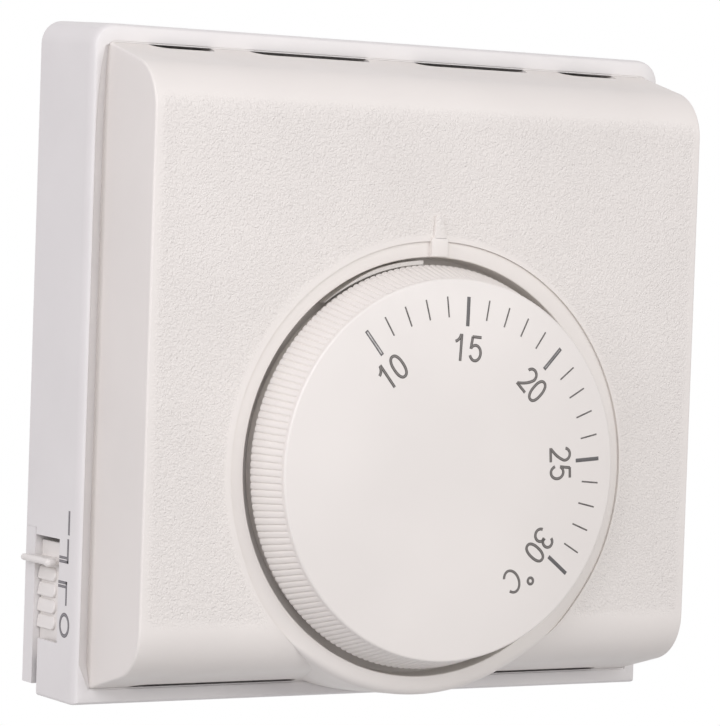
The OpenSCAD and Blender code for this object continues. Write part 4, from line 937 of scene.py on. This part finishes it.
def gripRib(z, s):
    # a pillow with a D-shaped end: its reach rises as (v / 0.1)^0.5 and falls as ((1 - v) / 0.85)^0.4, v going
    # from its lower edge to its upper one
    rib = s["rib"]
    v = np.linspace(0, 1, 22)[:, None]
    w = np.linspace(0, 1, 30)
    half = rib["height"] / 2
    height = z + rib["height"] * v + 0 * w
    reach = rib["length"] - half + np.sqrt(np.maximum(half ** 2 - (height - z - half) ** 2, 0))
    depth = rib["start"] + reach * (1 - (1 - w) ** 1.6)
    swell = np.clip(v / 0.10, 0, 1) ** 0.5 * np.clip((1 - v) / 0.85, 0, 1) ** 0.4
    end = np.sqrt(np.maximum(1 - np.maximum((w - 0.80) / 0.20, 0) ** 2, 0))
    out = s["plateOut"] - rib["reach"] * swell * end
    foot = s["plateOut"] + 0.2 + 0 * out
    outer, inner = (np.stack([x, depth, height], -1).reshape(-1, 3) for x in (out, foot))
    return shell(outer, inner, gridQuads(*out.shape))


def buildSlider(s):
    tab, arm, rib = s["tab"], s["arm"], s["rib"]
    plateOut, plateIn, back, front, step = (s[key] for key in ("plateOut", "plateIn", "back", "front", "step"))
    tip, low, high = sliderBox["x0"], tab["z0"], tab["z1"]
    boxes = [(plateOut, plateIn, back, front, sliderBox["z0"], step, 0.15),
             (plateIn - 0.5, plateIn, back, front, step - 0.4, sliderBox["z1"], 0.1),
             (tip + 0.1, plateOut + 0.3, back + 0.1, tab["front"] - 0.3, low + 0.02, high - 0.02, 0.4, 6),
             (tip + 0.03, -halfHousing - 0.2, tab["foot"], tab["front"] - 0.4, low + 0.05, high - 0.05, 0.42,
              6),
             (tip, -halfHousing + 0.4, tab["front"] - 1.5, tab["front"], low - 0.15, high, 0.55, 6),
             (plateIn - 0.2, sliderBox["x1"], arm["d0"], arm["d1"], arm["z0"], arm["z1"], 0.2)]
    islands = [roundedBox(*box) for box in boxes]
    islands += [gripRib(rib["first"] - k * rib["pitch"], s) for k in range(4)]
    piece("modeSlider", islands, "slider", sliderPlastic, ["mode_slider"], 40)


buildSlider(slider)


view = {
    "yaw": 30.47, "pitch": 2.38, "roll": 1.99, "place": (-225.05, -394.63, 15.32),
    "focalPixels": 3369.5, "imageWidth": 720, "imageHeight": 726, "centreX": 365.6, "centreY": 391.97,
}


def placed(name, data, right, up, back, place):  # a camera or lamp that looks against back
    obj = bpy.data.objects.new(name, data)
    matrix = np.eye(4)
    matrix[:3] = np.stack([right, up, back, place], 1)
    obj.matrix_world = matrix.T
    bpy.context.scene.collection.objects.link(obj)
    return obj


def buildCamera(s):  # its focal length and its middle are in pixels of the picture
    yaw, pitch, roll = (math.radians(s[key]) for key in ("yaw", "pitch", "roll"))
    ahead = np.array([math.sin(yaw) * math.cos(pitch), math.cos(yaw) * math.cos(pitch), -math.sin(pitch)])
    level = np.array([math.cos(yaw), -math.sin(yaw), 0])
    up = np.cross(level, ahead)
    right = math.cos(roll) * level + math.sin(roll) * up
    top = -math.sin(roll) * level + math.cos(roll) * up
    longSide = max(s["imageWidth"], s["imageHeight"])
    data = bpy.data.cameras.new("camera")
    data.lens = s["focalPixels"] * data.sensor_width / longSide
    data.shift_x = (s["imageWidth"] / 2 - s["centreX"]) / longSide
    data.shift_y = (s["centreY"] - s["imageHeight"] / 2) / longSide
    data.clip_start, data.clip_end = 0.02, 20
    bpy.context.scene.camera = placed("camera", data, right, top, -ahead, np.array(s["place"]) * mm)


def areaLight(name, place, target, size, power, colour):
    data = bpy.data.lights.new(name, "AREA")
    data.shape, data.size, data.size_y = "RECTANGLE", size[0], size[1]
    data.energy, data.color = power, colour
    back = np.subtract(place, target)
    back /= np.linalg.norm(back)
    side = np.cross((0, 0, 1), back)
    side /= np.linalg.norm(side)
    placed(name, data, side, np.cross(back, side), back, place)


studio = {
    "floorZ": -0.105, "floorSize": 0.5, "floorGlow": 0.93, "floorTone": (0.66, 0.66, 0.66),
    "aim": (0, -0.015, 0),
    "sky": (1.0, 0.94, 1.0), "skyStrength": 0.38,
    "lamps": [("keyLamp", (0.55, -1.35, 0.75), (1.1, 0.9), 5.3, (0.98, 0.985, 0.96)),
              ("glossLamp", (0.68, -1.3, 0.30), (0.45, 0.45), 2.5, (0.98, 0.98, 0.97)),
              ("frontLamp", (-0.25, -1.7, 0.15), (1.2, 1.2), 3.05, (0.985, 0.985, 0.99)),
              ("nearLamp", (-0.20, -0.30, 0.20), (0.2, 0.2), 0.5, (0.965, 0.955, 1.0)),
              ("leftLamp", (-1.5, -0.25, 0.45), (1.0, 1.0), 9.1, (0.975, 0.965, 1.0))],
}


def split(tree, plain, bright, output):
    # camera, glossy and glass rays see the bright shader, and every other ray sees the plain one
    rays = newNode(tree, "LightPath", {}).outputs
    seen = rays["Is Camera Ray"]
    for ray in ("Is Glossy Ray", "Is Transmission Ray"):
        seen = newNode(tree, "Math", {0: seen, 1: rays[ray]}, "MAXIMUM").outputs[0]
    mix = newNode(tree, "MixShader", {0: seen, 1: plain.outputs[0], 2: bright.outputs[0]})
    tree.links.new(mix.outputs[0], output.inputs["Surface"])


def buildStudio(s):
    scene = bpy.context.scene
    scene.view_settings.view_transform = "Standard"
    world = bpy.data.worlds.new("studio")
    world.use_nodes = True
    tree = world.node_tree
    sky = tree.nodes["Background"]
    sky.inputs["Color"].default_value = (*s["sky"], 1)
    sky.inputs["Strength"].default_value = s["skyStrength"]
    white = newNode(tree, "Background", {"Color": (1, 1, 1, 1)})
    split(tree, sky, white, tree.nodes["World Output"])
    scene.world = world
    half, low = s["floorSize"] / 2, s["floorZ"]
    mesh = bpy.data.meshes.new("floor")
    mesh.from_pydata([(-half, -half, low), (half, -half, low), (half, half, low), (-half, half, low)], [],
                     [(0, 1, 2, 3)])
    floor = bpy.data.objects.new("floor", mesh)
    scene.collection.objects.link(floor)
    material, tree, shader = newMaterial("floorPaper", s["floorTone"], 0.8)
    glow = newNode(tree, "Emission", {"Color": (1, 1, 1, 1)})
    soft = newNode(tree, "MixShader", {0: s["floorGlow"], 1: shader.outputs[0], 2: glow.outputs[0]})
    split(tree, shader, soft, tree.nodes["Material Output"])
    mesh.materials.append(material)
    for name, place, size, power, colour in s["lamps"]:
        areaLight(name, place, s["aim"], size, power, colour)


buildCamera(view)
buildStudio(studio)
print("camera and studio made")
